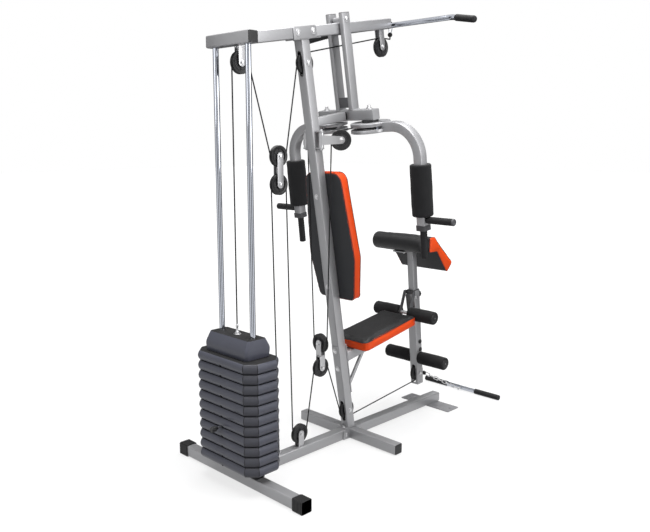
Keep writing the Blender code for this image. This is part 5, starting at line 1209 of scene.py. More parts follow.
HANDLE_RINGS = grooves(9, 0.012, 0.0165, (0.018, 0.0205, 0.0225, 0.025))
HANDLE_LOW, SIDE_HANDLE_Z, SIDE_HANDLE_END = 0.886, 1.068, 0.582
for name, side in SIDES:
    arm_piece = maker("butterfly_" + name, "arm_" + name, UPRIGHT)
    foot_at = arm_centre(ARM_END, side)
    collar = sweep([foot_at + Vector((0, 0, -0.013)), foot_at + Vector((0, 0, 0.012))], rounded(0.051, 0.051, 0.006),
        FORWARD)
    arm_piece("arm_collar_" + name, soften(collar, 0.0015, 3), grey_cap)
    low = Vector((foot_at.x - RAKE * (ARM_END - HANDLE_LOW), foot_at.y, HANDLE_LOW))
    length = (foot_at - low).length
    grip = [(0, 0), (0.0118, 0.0), (0.0152, 0.0014), (0.0165, 0.0046), *HANDLE_RINGS, (0.0165, length), (0, length)]
    arm_piece("down_handle_" + name, turned(grip, low, foot_at - low), rubber)
    start = Vector((arm_centre(SIDE_HANDLE_Z, side).x, side * (ARM_REACH + 0.0215), SIDE_HANDLE_Z))
    length = SIDE_HANDLE_END - ARM_REACH - 0.0215
    grip = [(0, 0), (0.0145, 0), (0.0145, 0.01), (0.0165, 0.0105), *HANDLE_RINGS, (0.0165, length - 0.007),
        (0, length - 0.007)]
    arm_piece("side_handle_" + name, turned(grip, start, (0, side, 0)), rubber)
    end_cap = turned([(0, length - 0.008), (0.0163, length - 0.008), (0.0164, length - 0.003),
        (0.0145, length - 0.0004), (0.0105, length), (0.01, length - 0.0012), (0, length - 0.0012)], start,
        (0, side, 0))
    arm_piece("side_handle_cap_" + name, end_cap, grey_cap)

# %% [markdown]
# ## Foam on the arms
#
# A thick foam sleeve is pushed over each arm. Its ends are soft and dip towards the tube, and its skin is not quite
# even, so every ring of the turned shape is pushed a little in or out before it is smoothed.

# %% Foam sleeves
def foam_sleeve(radius, length, ends=0.007, dip=0.004, steps=40, uneven_by=0.0006, seed=0):
    """A soft cylinder along z with rounded, dished ends."""
    profile = [(0, dip), (radius * 0.55, dip), (radius * 0.72, dip * 0.35)]
    profile += [(radius - ends + ends * math.sin(math.radians(a)), ends - ends * math.cos(math.radians(a)))
        for a in range(0, 91, 15)]
    rows = max(6, round((length - 2 * ends) / 0.012))
    profile += [(radius, ends + (length - 2 * ends) * k / rows) for k in range(1, rows)]
    profile += [(r, length - z) for r, z in reversed(profile[:10])]
    shape = turned(profile, steps=steps)
    for vert in shape.verts:
        x, y, z = vert.co
        if math.hypot(x, y) > radius * 0.6:
            wave = math.sin(47 * z + 3 * math.atan2(y, x) + seed) + math.sin(91 * z - 2 * math.atan2(y, x) + 2 * seed)
            waist = math.sin(math.pi * min(max(z / length, 0), 1))
            push = 1 + (uneven_by * 0.5 * wave - uneven_by * (1 - waist)) / radius - 0.0006 / radius
            vert.co = (x * push, y * push, z)
    return shape


for number, (name, side) in enumerate(SIDES):
    low, high = arm_centre(1.085, side), arm_centre(1.321, side)
    sleeve = foam_sleeve(0.05, (high - low).length, ends=0.008, seed=number * 2.1)
    sleeve.transform(aimed(low, high - low))
    pad = piece("arm_foam_sleeve_" + name, sleeve, foam, "butterfly_" + name, "arm_foam_" + name, place=UPRIGHT)

# %% [markdown]
# ## Cushions
#
# The back pad, the seat and the curl pad are plywood boards with foam and vinyl. The vinyl is stretched, so the face
# crowns, the sides pull in between the corners, and only the board side is flat. A cloth simulation does this: the
# cushion is drawn a little small, remeshed into even squares, and blown up by a light pressure while its board side
# is pinned. Its movement is capped, so the cushion keeps the size of the solid that it stands for. Then it is cut
# along the lines where the colours meet, and a thin piping is laid along those lines.

# %% Blow up a cushion
def blown_up(shape, pinned, voxel=0.005, pressure=1.5, cap=0.003):
    """Remesh a closed shape, swell it with cloth while 'pinned' places stay, and return it smoother."""
    thing = in_scene("loose", as_mesh(shape))
    remesh = thing.modifiers.new("Even squares", "REMESH")
    remesh.mode = "VOXEL"
    remesh.voxel_size = voxel
    even = baked(thing)
    thing.modifiers.clear()
    thing.data = even
    before = [vert.co.copy() for vert in even.vertices]
    held = thing.vertex_groups.new(name="held")
    held.add([k for k, place in enumerate(before) if pinned(place)], 1.0, "REPLACE")
    cloth = thing.modifiers.new("Cover", "CLOTH")
    cloth.settings.quality = 6
    cloth.settings.mass = 0.3
    cloth.settings.vertex_group_mass = "held"
    cloth.settings.use_pressure = True
    cloth.settings.uniform_pressure_force = pressure
    cloth.settings.tension_stiffness = 30
    cloth.settings.compression_stiffness = 30
    cloth.settings.bending_stiffness = 0.4
    cloth.settings.effector_weights.gravity = 0.0
    scene = bpy.context.scene
    for number in range(1, 21):
        scene.frame_set(number)
    swollen = baked(thing)
    thing.modifiers.clear()
    for vert, start in zip(swollen.vertices, before):
        move = vert.co - start
        if move.length > cap:
            vert.co = start + move * (cap / move.length)
    thing.data = swollen
    scene.frame_set(1)
    result = bmesh.new()
    result.from_mesh(thing.data)
    bmesh.ops.smooth_vert(result, verts=[v for v in result.verts if not pinned(v.co)], factor=0.5, use_axis_x=True,
        use_axis_y=True, use_axis_z=True)
    bpy.data.objects.remove(thing)
    return result


# %% Shape, cuts and piping of a cushion
def split_at(shape, place, normal):
    """Cut the faces along a plane, so that two colours can meet in a clean line."""
    geom = shape.verts[:] + shape.edges[:] + shape.faces[:]
    bmesh.ops.bisect_plane(shape, geom=geom, plane_co=place, plane_no=normal)


def cushion_shape(outline, thickness, crown, to_place, shrink=0.0015):
    """The cushion before it is blown up: a board side, a band and a crowned face."""
    mid_a = (min(a for a, _ in outline) + max(a for a, _ in outline)) / 2
    mid_b = (min(b for _, b in outline) + max(b for _, b in outline)) / 2
    reach_a = max(abs(a - mid_a) for a, _ in outline)
    reach_b = max(abs(b - mid_b) for _, b in outline)
    levels = [(0.004, 0.0), (0.001, 0.003), (0.0022, 0.5 * thickness), (0.0004, thickness - 0.01),
        (0.0016, thickness - 0.005), (0.006, thickness - 0.0012), (0.015, thickness + 0.25 * crown),
        (0.035, thickness + 0.6 * crown), (0.06, thickness + 0.8 * crown), (0.085, thickness + 0.9 * crown)]
    rings = []
    for inset, height in levels:
        inset += shrink
        rings.append([to_place(mid_a + (a - mid_a) * (reach_a - inset) / reach_a,
            mid_b + (b - mid_b) * (reach_b - inset) / reach_b, height) for a, b in outline])
    return loft(rings)


def piping(shape, outline, to_place, height, radius=0.0018, out=0.0002):
    """A thin welt that follows the cushion's own surface at one height."""
    tree = BVHTree.FromBMesh(shape)
    dense = []
    for start, end in zip(outline, outline[1:] + outline[:1]):
        steps = max(1, round(math.dist(start, end) / 0.012))
        dense += [(start[0] + (end[0] - start[0]) * k / steps, start[1] + (end[1] - start[1]) * k / steps)
            for k in range(steps)]
    path = []
    for a, b in dense:
        near, normal, _, _ = tree.find_nearest(Vector(to_place(a, b, height)))
        path.append(near + normal * out)
    return sweep(path, circle(radius, 8), closed=True)


# %% Back pad
THICK, CROWN, REST = 0.054, 0.006, HALF + 0.0003
back_outline = eased([(0.117, 0.688), (0.153, 0.905), (0.117, 1.314), (-0.117, 1.314), (-0.153, 0.905),
    (-0.117, 0.688)], [0.028, 0.07, 0.046, 0.046, 0.07, 0.028], 8)
on_upright = lambda y, z, h: (REST + h, y, z)
back = blown_up(cushion_shape(back_outline, THICK, CROWN, on_upright), lambda co: co.x < REST + 0.004)
split_at(back, (REST + 0.002, 0, 0), FORWARD)
split_at(back, (REST + THICK - 0.006, 0, 0), FORWARD)
for face in back.faces:
    height = face.calc_center_median().x - REST
    face.material_index = 1 if height < 0.002 else 2 if height < THICK - 0.006 else 0
welt = piping(back, back_outline, on_upright, THICK - 0.006)
edge_welt = piping(back, back_outline, on_upright, 0.0022, 0.0011)
pad = piece("back_pad_cushion", back, (vinyl_face, vinyl_back, vinyl_band), "frame", "back_pad", place=UPRIGHT,
    smooth=60)
piece("back_pad_welts", together(welt, edge_welt), vinyl_face, "frame", "back_pad", place=UPRIGHT, smooth=80)
PAD_BOLTS, SEAT_BOLTS = (1.208, 0.764), (0.428, 0.331)
rear_bolts = [bolt((-HALF, 0, z), (-1, 0, 0), 0.009, washer=0.0125) for z in PAD_BOLTS]
upright_piece("back_pad_bolts", together(*rear_bolts), zinc)

# %% Seat pad
SEAT_LOW = 0.381 + HALF + 0.0003
seat_outline = eased([(0.072, -0.118), (0.478, -0.112), (0.478, 0.112), (0.072, 0.118)], [0.026, 0.014, 0.014, 0.026],
    8)
on_beam = lambda x, y, h: (x, y, SEAT_LOW + h)
seat = blown_up(cushion_shape(seat_outline, THICK, 0.003, on_beam), lambda co: co.z < SEAT_LOW + 0.004)
split_at(seat, (0, 0, SEAT_LOW + 0.0025), UP)
split_at(seat, (0, 0, SEAT_LOW + THICK - 0.0075), UP)
for face in seat.faces:
    height = face.calc_center_median().z - SEAT_LOW
    face.material_index = 1 if height < 0.0025 else 2 if height < THICK - 0.0075 else 0
seat_welt = piping(seat, seat_outline, on_beam, THICK - 0.0075, 0.002)
seat_pad_piece = maker("frame", "seat_pad", UPRIGHT)
pad = seat_pad_piece("seat_pad_cushion", seat, (vinyl_face, vinyl_back, vinyl_band), smooth=60)
seat_pad_piece("seat_pad_welt", seat_welt, vinyl_face, smooth=80)
folds = []
for cx, cy in ((0.098, -0.092), (0.098, 0.092), (0.464, -0.098), (0.464, 0.098)):
    radius = 0.026 if cx < 0.2 else 0.014
    for turn in (-28, 0, 28):
        angle = math.radians((45 if cy > 0 else -45) if cx > 0.2 else (135 if cy > 0 else -135)) + math.radians(turn)
        x, y = cx + (radius - 0.0006) * math.cos(angle), cy + (radius - 0.0006) * math.sin(angle)
        folds.append(sweep([(x, y, SEAT_LOW + 0.007), (x, y, SEAT_LOW + THICK - 0.012)], circle(0.0009, 6)))
seat_pad_piece("seat_pad_folds", together(*folds), vinyl_band, smooth=80)

# %% [markdown]
# ### Curl pad and roll
#
# The curl pad is a sloping cushion with a short flat back edge. It is lofted from its side view, blown up like the
# others, and only its board side stays flat. The roll behind it is a glossy padded cylinder with soft round ends.

# %% Curl pad
profile = eased([(1.157, 0.923), (1.223, 0.923), (1.3185, 0.796), (1.3664, 0.8469), (1.1997, 1.003), (1.157, 1.003)],
    [0.003, 0.006, 0.012, 0.012, 0.014, 0.008], 5)
centre = Vector((1.235, 0.905))
rings = []
for share, inset in ((-1.0, 0.007), (-0.985, 0.0025), (-0.955, 0.0006), (-0.6, 0.0), (0.0, -0.0005), (0.6, 0.0),
                     (0.955, 0.0006), (0.985, 0.0025), (1.0, 0.007)):
    ring = []
    for x, z in profile:
        away = (Vector((x, z)) - centre).normalized() * (inset + 0.0012)
        ring.append((x - away.x, share * 0.156, z - (away.y if abs(z - 0.923) > 0.001 else 0)))
    rings.append(ring)


def under_curl(co):
    """Below the bent board: the flat part and the slope."""
    slope = (co.x - 1.223) * 0.799 + (co.z - 0.923) * 0.601
    return (co.x < 1.226 and co.z < 0.9275) or (co.z < 0.9315 and slope < 0.0045)


curl = blown_up(loft(rings), under_curl, cap=0.005)
for y in (-0.15, 0.15):
    split_at(curl, (0, y, 0), ACROSS)
for face in curl.faces:
    middle = face.calc_center_median()
    face.material_index = 1 if under_curl(middle) and abs(middle.y) < 0.15 else 2 if abs(middle.y) > 0.15 else 0

# %% Curl pad's piping
curl_welts = []
curl_tree = BVHTree.FromBMesh(curl)
for side in BOTH:
    path = []
    for (x0, z0), (x1, z1) in zip(profile, profile[1:] + profile[:1]):
        steps = max(1, round(math.dist((x0, z0), (x1, z1)) / 0.01))
        for k in range(steps):
            spot = Vector((x0 + (x1 - x0) * k / steps, side * 0.15, z0 + (z1 - z0) * k / steps))
            near, normal, _, _ = curl_tree.find_nearest(spot)
            path.append(Vector((near.x, side * 0.15, near.z)))
    curl_welts.append(sweep(path, circle(0.0016, 8), closed=True))
pad = piece("curl_pad_cushion", curl, (vinyl_face, vinyl_back, vinyl_band), "curl", "curl_pad", smooth=60)
piece("curl_pad_welts", together(*curl_welts), vinyl_face, "curl", "curl_pad", smooth=80)

# %% Curl roll
ROLL_X, ROLL_Z, ROLL_HALF = 1.105, 0.9688, 0.166
roll = foam_sleeve(0.046, 2 * ROLL_HALF, ends=0.015, dip=0.002, steps=48, uneven_by=0.0004, seed=1.3)
roll.transform(aimed((ROLL_X, -ROLL_HALF, ROLL_Z), ACROSS))
pad = piece("curl_roll_cushion", roll, vinyl_face, "curl", "curl_roll")
buttons = [turned([(0, 0), (0.012, 0), (0.0125, 0.0008), (0.01, 0.0016), (0, 0.0018)],
    (ROLL_X, side * (ROLL_HALF - 0.002), ROLL_Z), (0, side, 0), 28) for side in BOTH]
piece("curl_roll_buttons", together(*buttons), plastic, "curl", "curl_roll")

# %% [markdown]
# ## Seat beam and front post
#
# The seat stands on a tube that sticks out of the upright, bolted through with a flange and propped by a thin rod.
# Its front end carries a black fork, which holds the post, the upper rollers and the pivot of the leg lever. The curl
# post slides in a sleeve with a dark rim, and a round knob with a spring pin locks it.

# %% Seat beam
SEAT_Z, SEAT_FRONT = 0.381, 0.505
FORK_FOOT = FLOOR_TO_UPRIGHT @ POST_TO_FLOOR @ Vector((-0.1075, 0, -0.1287))
seat_beam_piece = maker("frame", "seat_beam", UPRIGHT)
seat_beam_piece("seat_beam_tube", tube((HALF + 0.0045, 0, SEAT_Z), (SEAT_FRONT - PLUG, 0, SEAT_Z)), silver)
seat_beam_piece("seat_beam_plug", plug((SEAT_FRONT - PLUG, 0, SEAT_Z), FORWARD), plastic)
seat_flange = plate(panel(-0.025, 0.185, 0.025, 0.45, 0.005), HALF + 0.0003, HALF + 0.0053, "x", edge=0.0005)
brace = sweep([(HALF + 0.0093, 0, 0.215), (0.17, 0, 0.36)], circle(0.0095, 20), ACROSS)
boss = turned([(0, -0.0293), (0.0102, -0.0293), (0.011, -0.0285), (0.011, 0.0285), (0.0102, 0.0293), (0, 0.0293)],
    (FORK_FOOT.x, 0, FORK_FOOT.z), ACROSS, 28)
seat_beam_piece("seat_beam_fittings", together(seat_flange, brace, boss), silver)
seat_beam_piece("seat_beam_seams", together(seam([(0.0312, sy * 0.0252, SEAT_Z + sz * 0.0252) for sy, sz in CORNERS],
    closed=True), seam([(0.0312, 0.0098, 0.214), (0.0312, -0.0098, 0.214)])), silver)
clamp = plate(panel(-0.02, 0.405, 0.02, 0.452, 0.004), -HALF - 0.0032, -HALF - 0.0002, "x", edge=0.0005)
upright_piece("seat_clamp_plate", clamp, silver)
upright_piece("seat_clamp_bolts", together(*[bolt((-HALF - (0.0032 if z > 0.4 else 0), 0, z), (-1, 0, 0), 0.0095,
    washer=0.013) for z in SEAT_BOLTS]), zinc)

# %% Fork
FORK_IN, FORK_OUT = 0.0296, 0.0336
foot_at, head_at = Vector((-0.1075, 0, -0.1287)), Vector((-0.0365, 0, 0.034))
away = (head_at - foot_at).normalized()
wide = Vector((away.z, 0, -away.x)) * 0.011
leg = [foot_at - away * 0.013 - wide, foot_at - away * 0.013 + wide, head_at + wide,
    head_at + away * 0.012 + wide * 0.4, head_at + away * 0.012 - wide * 0.8, head_at - wide]
leg_outline = eased([(p.x, p.z) for p in leg], [0.01, 0.01, 0.004, 0.003, 0.003, 0.004], 4)
fork_sides = [plate(leg_outline, *ordered(side, FORK_IN, FORK_OUT), edge=0.0007) for side in BOTH]
bend = block((-HALF - 0.0053, -FORK_OUT, 0.026), (-HALF - 0.0003, FORK_OUT, 0.0465), 0.0015)
fork_piece = maker("frame", "post_fork", POST)
fork_piece("post_fork_body", together(bend, *fork_sides), black_steel)
ROLLER_AT, ROLLER_END = Vector((-0.0797, 0, -0.065)), 0.2


# %% Foam rollers
def roller_axle(place):
    return rod(0.01, -ROLLER_END - 0.001, ROLLER_END + 0.001, place, ACROSS, 24)


def roller_cap(place, side):
    """A grey end cap with rings and a bolt in its middle."""
    rings = [(0, -0.002), (0.024, -0.002), (0.0256, -0.0006), (0.0256, 0.0008), (0.0235, 0.0022), (0.0205, 0.0022),
        (0.0195, 0.001), (0.0165, 0.001), (0.0155, 0.0026), (0.011, 0.003), (0.01, 0.0016), (0, 0.0016)]
    return turned(rings, place + Vector((0, side * (ROLLER_END + 0.0006), 0)), (0, side, 0), 36)


def roller_pair(kind, centre, inner, body):
    for number, (name, side) in enumerate(SIDES):
        roller_piece = maker(body, f"{kind}_roller_{name}", POST)
        sleeve = foam_sleeve(0.036, ROLLER_END - inner, ends=0.007, dip=0.002, seed=number + len(kind))
        sleeve.transform(aimed(centre + Vector((0, side * inner, 0)), (0, side, 0)))
        pad = roller_piece(f"{kind}_roller_foam_{name}", sleeve, foam)
        roller_piece(f"{kind}_roller_cap_{name}", roller_cap(centre, side), plastic)
        nut = bolt(centre + Vector((0, side * (ROLLER_END + 0.0016), 0)), (0, side, 0), 0.005, "dome", 0)
        piece(f"{kind}_roller_nut_{name}", nut, black_steel, body, place=POST)


fork_piece("upper_roller_axle", roller_axle(ROLLER_AT), zinc)
roller_pair("upper", ROLLER_AT, FORK_OUT + 0.0012, "frame")
foot_nuts = together(*[bolt((foot_at.x, side * FORK_OUT, foot_at.z), (0, side, 0), 0.0085, washer=0.0105)
    for side in BOTH])
fork_piece("fork_foot_bolts", foot_nuts, zinc)

# %% Sleeve, curl post and knob
LEVER_PIVOT = Vector((-0.018, 0, 0.011))
sleeve = tube((0, 0, -0.06), (0, 0, 0.0455))
bore = tube((0, 0, -0.08), (0, 0, 0.08), 0.0384, 0.0384, 0.0032)
post_piece = maker("frame", "front_post", POST)
post_piece("front_post_sleeve", carved(sleeve, bore), silver)
collar = carved(tube((0, 0, 0.045), (0, 0, 0.047), 0.0516, 0.0516, 0.005), tube((0, 0, 0.04), (0, 0, 0.07), 0.0384,
    0.0384, 0.0032))
post_piece("front_post_rim", collar, plastic)
pivot_bolts = together(rod(0.0058, -0.033, 0.033, LEVER_PIVOT, ACROSS, 20),
    *[bolt(LEVER_PIVOT + Vector((0, side * 0.0296, 0)), (0, side, 0), 0.009, "hex" if side < 0 else "nut", 0.0112)
    for side in BOTH])
post_piece("lever_pivot_bolts", pivot_bolts, zinc)
CURL_TOP = 0.9225
post_top = (CURL_TOP - 0.003 - 0.65) / math.cos(POST_LEAN)
curl_tube = tube((0, 0, -0.054), (0, 0, post_top), 0.038, 0.038, 0.004)
holes = [rod(0.0043, 0, 0.03, (0.01, 0, 0.013 - 0.03 * k), FORWARD, 20) for k in range(3)]
piece("curl_post_tube", carved(curl_tube, *holes), silver, "curl", "curl_post", place=POST)
curl_plate = plate(panel(1.085, -0.04, 1.215, 0.04, 0.008), 0.9165, CURL_TOP, normal="z", edge=0.0008)
curl_screws = [bolt((x, y, 0.9165), (0, 0, -1), 0.007, "dome", 0.009) for x in (1.1, 1.19) for y in (-0.028, 0.028)]
piece("curl_plate_top", curl_plate, silver, "curl", "curl_post")
piece("curl_plate_screws", together(*curl_screws), zinc, "curl", "curl_post")
knob_profile = [(0, 0), (0.0115, 0), (0.0125, 0.001), (0.0125, 0.0062), (0.0182, 0.0074), (0.019, 0.0092),
    (0.019, 0.0186), (0.018, 0.0214), (0.014, 0.0233), (0, 0.0237)]
knob = turned(knob_profile, (HALF + 0.0003, 0, 0.013), FORWARD, 36)
flutes = [rod(0.0026, 0.005, 0.03, (HALF + 0.0003, y, z), FORWARD, 12) for y, z in arc(0, 0.013, 0.0202,
    range(0, 360, 36))]
piece("curl_knob_grip", carved(knob, *flutes), plastic, "knob", "curl_knob", place=POST)
pin = turned([(0, 0.0193), (0.003, 0.0193), (0.0039, 0.0205), (0.0039, 0.03), (0, 0.03)], (0, 0, 0.013), FORWARD, 20)
piece("curl_knob_pin", pin, zinc, "knob", "curl_knob", place=POST)

# %% [markdown]
# ## Leg lever
#
# The lever hangs from the post and swings forward. It is a square tube with two flat cheeks at the pivot, two spare
# holes, a long slot for the low pulley, and a pair of foam rollers.

# %% Lever tube, cheeks and rollers
WIDE, SPARE_HOLES = 0.0512, (-0.2526, -0.2986)
lever = tube((0, 0, -0.5), (0, 0, -0.075), WIDE, 0.05)
lever = carved(lever, plate(stadium(0, LEVER_SLOT - 0.04, LEVER_SLOT + 0.04, 0.024), -0.06, 0.06, "x", edge=0),
    *[rod(0.0096, -0.06, 0.06, (0.008, 0, z), ACROSS, 24) for z in SPARE_HOLES])
lever = carved(lever, tube((0, 0, -0.52), (0, 0, -0.079), 0.0462, 0.045, 0.003))
lever_piece = maker("lever", "leg_lever", POST)
lever_piece("leg_lever_tube", lever, silver)
stoppers = [turned([(0, 0), (0.0095, 0), (0.0095, 0.0036), (0.0118, 0.0038), (0.0118, 0.0066), (0.01, 0.0086),
    (0, 0.009)], (0.008, side * (WIDE / 2 - 0.0036), z), (0, side, 0), 24) for z in SPARE_HOLES for side in BOTH]
lever_piece("leg_lever_hole_plugs", together(*stoppers), plastic)
cheek = arc(LEVER_PIVOT.x, LEVER_PIVOT.z, 0.014, range(0, 181, 15)) + [(-0.024, -0.075), (-0.021, -0.12),
    (0.021, -0.12), (0.023, -0.075)]
cheek_bore = rod(0.0063, -0.05, 0.05, LEVER_PIVOT, ACROSS, 24)
cheeks = together(*[plate(cheek, *ordered(side, 0.0253, 0.0293), edge=0.0005) for side in BOTH])
lever_piece("leg_lever_cheeks", carved(cheeks, cheek_bore), silver)
LOWER_AT = Vector((0, 0, -0.345))
lever_piece("lower_roller_axle", roller_axle(LOWER_AT), zinc)
roller_pair("lower", LOWER_AT, WIDE / 2 + 0.0012, "lever")
lever_axle = together(rod(0.0049, -WIDE / 2, WIDE / 2, LEVER_WHEEL, ACROSS, 20),
    *[bolt(LEVER_WHEEL + Vector((0, side * WIDE / 2, 0)), (0, side, 0), 0.0085, "hex" if side < 0 else "nut", 0.0108)
    for side in BOTH])
lever_piece("lever_wheel_axle", lever_axle, zinc)

# %% [markdown]
# ## Bars, ball stops and chain
#
# The lat bar is chromed tube with rubber grips and rests in a ring at the end of the upper cable. The row bar lies on
# the floor on its chain. A black ball on each cable stops it at its pulley. Every chain link is its own closed wire,
# turned a quarter from its neighbour.

# %% Lat bar
LAT_AT, LAT_STOP = Vector((1.0, 0, 2.062)), Vector((0.994, 0, 2.017))


def lat_line(y):
    """The lat bar's centre line: straight in the middle, swept down at both ends."""
    past = max(abs(y) - 0.35, 0)
    share = past * past / 0.0108 if past < 0.03 else 0.0833 + (past - 0.03) * 0.9167 / 0.15
    return LAT_AT + Vector((-0.06, 0, -0.033)) * share + Vector((0, y, 0))


ys = [k * 0.01 for k in range(-53, 54)]
lat_piece = maker("lat", "lat_bar")
lat_piece("lat_bar_tube", sweep([lat_line(y) for y in ys if abs(y) < 0.527], circle(0.0125, 28)), chrome)
hook = [LAT_AT + Vector((x, 0, z)) for x, z in arc(0, 0.001, 0.0155, [12.5 * k - 10 for k in range(17)])]
hook += [LAT_STOP + Vector((x, 0, z)) for x, z in arc(0, 0.012, 0.0085, range(195, 346, 15))]
shank = rod(0.0036, 0.006, 0.0125, LAT_STOP, LAT_AT - LAT_STOP, 20)
lat_piece("lat_bar_hook", together(sweep(hook, circle(0.002, 12), closed=True), shank), chrome)
BALL = [(0 if k in (0, 12) else 0.0118 * math.sin(math.radians(15 * k)), -0.0118 * math.cos(math.radians(15 * k)))
    for k in range(13)]
lat_piece("lat_ball_stop", turned(BALL, LAT_STOP), rubber)
GRIP_START = [(0, 0), (0.0127, 0), (0.0148, 0.0004), (0.0155, 0.002)]
for name, side in SIDES:
    start, end = lat_line(side * 0.4), lat_line(side * 0.53)
    length = (end - start).length
    grip = GRIP_START + grooves(8, 0.013, 0.0155, (0.012, 0.014, 0.016, 0.018))
    grip += [(0.0155, length - 0.006), (0.0143, length - 0.0012), (0.011, length + 0.001), (0, length + 0.0016)]
    lat_piece("lat_grip_" + name, turned(grip, start, end - start), rubber)

# %% Row bar
LOW_STOP, ROW_X, ROW_Z = Vector((1.337, 0, 0.194)), 1.712, 0.0155
row_piece = maker("row_bar", "low_bar")
row_piece("row_bar_tube", rod(0.0125, -0.262, 0.262, (ROW_X, 0, ROW_Z), ACROSS, 32), chrome)
for name, side in SIDES:
    grip = GRIP_START + grooves(12, 0.0122, 0.0155, (0.01, 0.0118, 0.0136, 0.0154))
    grip += [(0.0155, 0.16), (0.0143, 0.164), (0, 0.165)]
    row_piece("row_grip_" + name, turned(grip, (ROW_X, side * 0.1, ROW_Z), (0, side, 0)), rubber)
row_eye = together(turned([(0, 0), (0.006, 0), (0.006, 0.004), (0.004, 0.005), (0.004, 0.01), (0, 0.01)],
    (ROW_X - 0.012, 0, ROW_Z), (-1, 0, 0), 20),
    sweep([(x, 0, z) for x, z in arc(ROW_X - 0.0285, ROW_Z, 0.0072, range(0, 360, 15))], circle(0.0022, 10),
    closed=True))
row_piece("row_bar_eye", row_eye, zinc)
piece("row_ball_stop", turned(BALL, LOW_STOP), rubber, "row_end", "low_stop")

# %% Chain
chain_from, chain_to = LOW_STOP + Vector((0.013, 0, -0.006)), Vector((ROW_X - 0.0325, 0, ROW_Z + 0.002))
run = chain_to - chain_from
count = round(run.length / 0.045)
along, flat = run.normalized(), Vector(ACROSS)
links = []
for k in range(count):
    centre = chain_from + run * ((k + 0.5) / count)
    across = flat if k % 2 else along.cross(flat)
    straight, bow = run.length / count / 2 + 0.0012 - 0.0075, 0.0075
    oval = [centre + along * (math.copysign(straight, math.cos(a)) + bow * math.cos(a)) + across * bow * math.sin(a)
        for a in [math.radians(7.5 + 15 * s) for s in range(24)]]
    links.append(sweep(oval, circle(0.0024, 10), closed=True))
piece("row_chain_links", together(*links), zinc, "row_bar", "low_chain")
print(count, "links")

# %% [markdown]
# ## Cables
#
# Three black cables link everything. Each one is drawn as a taut line round its wheels: straight between two wheels,
# and an arc on each wheel. A cable crosses several moving bodies, so it is cut into runs. An arc rides on the body of
# its wheel, and a straight run stays where it is drawn and rides on no body. The run over the stack, which shortens
# as the stack rises, rides on the frame with a mesh of its own.

# %% Line round the wheels
CABLE, WRAP = 0.0031, 0.0437


def taut_line(stations):
    """Runs and arcs of a cable in the mid-plane, from stations of (x, z, radius, turn)."""
    legs = []
    for (ax, az, ar, at), (bx, bz, br, bt) in zip(stations, stations[1:]):
        gap = Vector((bx - ax, bz - az))
        angle = math.atan2(gap.y, gap.x) + math.asin((at * ar - bt * br) / gap.length)
        left = Vector((-math.sin(angle), math.cos(angle)))
        legs.append((Vector((ax, az)) - left * at * ar, Vector((bx, bz)) - left * bt * br, angle))
    arcs = []
    for (_, _, angle_in), (_, _, angle_out), (x, z, radius, turn) in zip(legs, legs[1:], stations[1:]):
        sweep_by = ((angle_out - angle_in) * turn) % (2 * math.pi)
        steps = max(2, math.ceil(sweep_by / math.radians(8)))
        arcs.append([Vector((x + turn * radius * math.sin(angle_in + turn * sweep_by * k / steps), 0,
            z - turn * radius * math.cos(angle_in + turn * sweep_by * k / steps))) for k in range(steps + 1)])
    return [(Vector((a.x, 0, a.y)), Vector((b.x, 0, b.y))) for a, b, _ in legs], arcs


# %% Runs and arcs
def cable_mesh(path):
    return sweep(path, circle(CABLE, 10), ACROSS if all(abs(p.y) < 1e-6 for p in map(Vector, path)) else None)


def straight(start, end, pieces=16):
    return [Vector(start).lerp(Vector(end), k / pieces) for k in range(pieces + 1)]


def cable_of(name):
    """The node that a length of cable stands for: the first two words of its name."""
    return "_".join(name.split("_")[:2])


def run(name, path, a, b):
    """A straight run that rides on no body; the bodies a and b are not used."""
    node = cable_of(name)
    thing = piece(name, cable_mesh(path), coat_black, None, smooth=80)
    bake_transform(thing)
    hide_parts(node)


def wrap(name, path, body, place=FLOOR):
    """An arc on a wheel."""
    piece(name, cable_mesh(path), coat_black, body, cable_of(name), place=place, smooth=80)


def on_floor(place, point):
    at = FLOOR.inverted() @ place @ Vector(point)
    return at.x, at.z


top_slot, low_slot = on_floor(UPRIGHT, (0, 0, SLOTS[0])), on_floor(UPRIGHT, (0, 0, SLOTS[1]))
front_at, lever_at = on_floor(UPRIGHT, TOP_FRONT), on_floor(POST, LEVER_WHEEL)

# %% Lat cable
EYE_TOP = CAP_TOP + 0.0453
runs, arcs = taut_line([(0, EYE_TOP, 0, 1), (TOP_REAR.x, TOP_REAR.z, WRAP, -1), (FLOAT_ONE.x, FLOAT_ONE.z, WRAP, 1),
    (*top_slot, WRAP, -1), (*front_at, WRAP, -1), (LAT_STOP.x, LAT_STOP.z - 0.0213, 0, 1)])
over_stack = piece("lat_cable_over_stack", cable_mesh(straight(*runs[0], 24)), coat_black, "frame", "lat_cable",
    smooth=80)
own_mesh(over_stack)
wrap("lat_cable_top_rear", arcs[0], "frame")
run("lat_cable_down", straight(*runs[1]), "frame", "float_one")
wrap("lat_cable_float", arcs[1], "float_one")
run("lat_cable_up", straight(*runs[2]), "float_one", "frame")
wrap("lat_cable_forward", arcs[2] + straight(*runs[3])[1:-1] + arcs[3] + [runs[4][1]], "frame")
lead = straight((LAT_STOP.x, 0, LAT_STOP.z - 0.0213), (LAT_STOP.x, 0, LAT_STOP.z - 0.008), 8)
run("lat_cable_lead", lead, "frame", "lat")

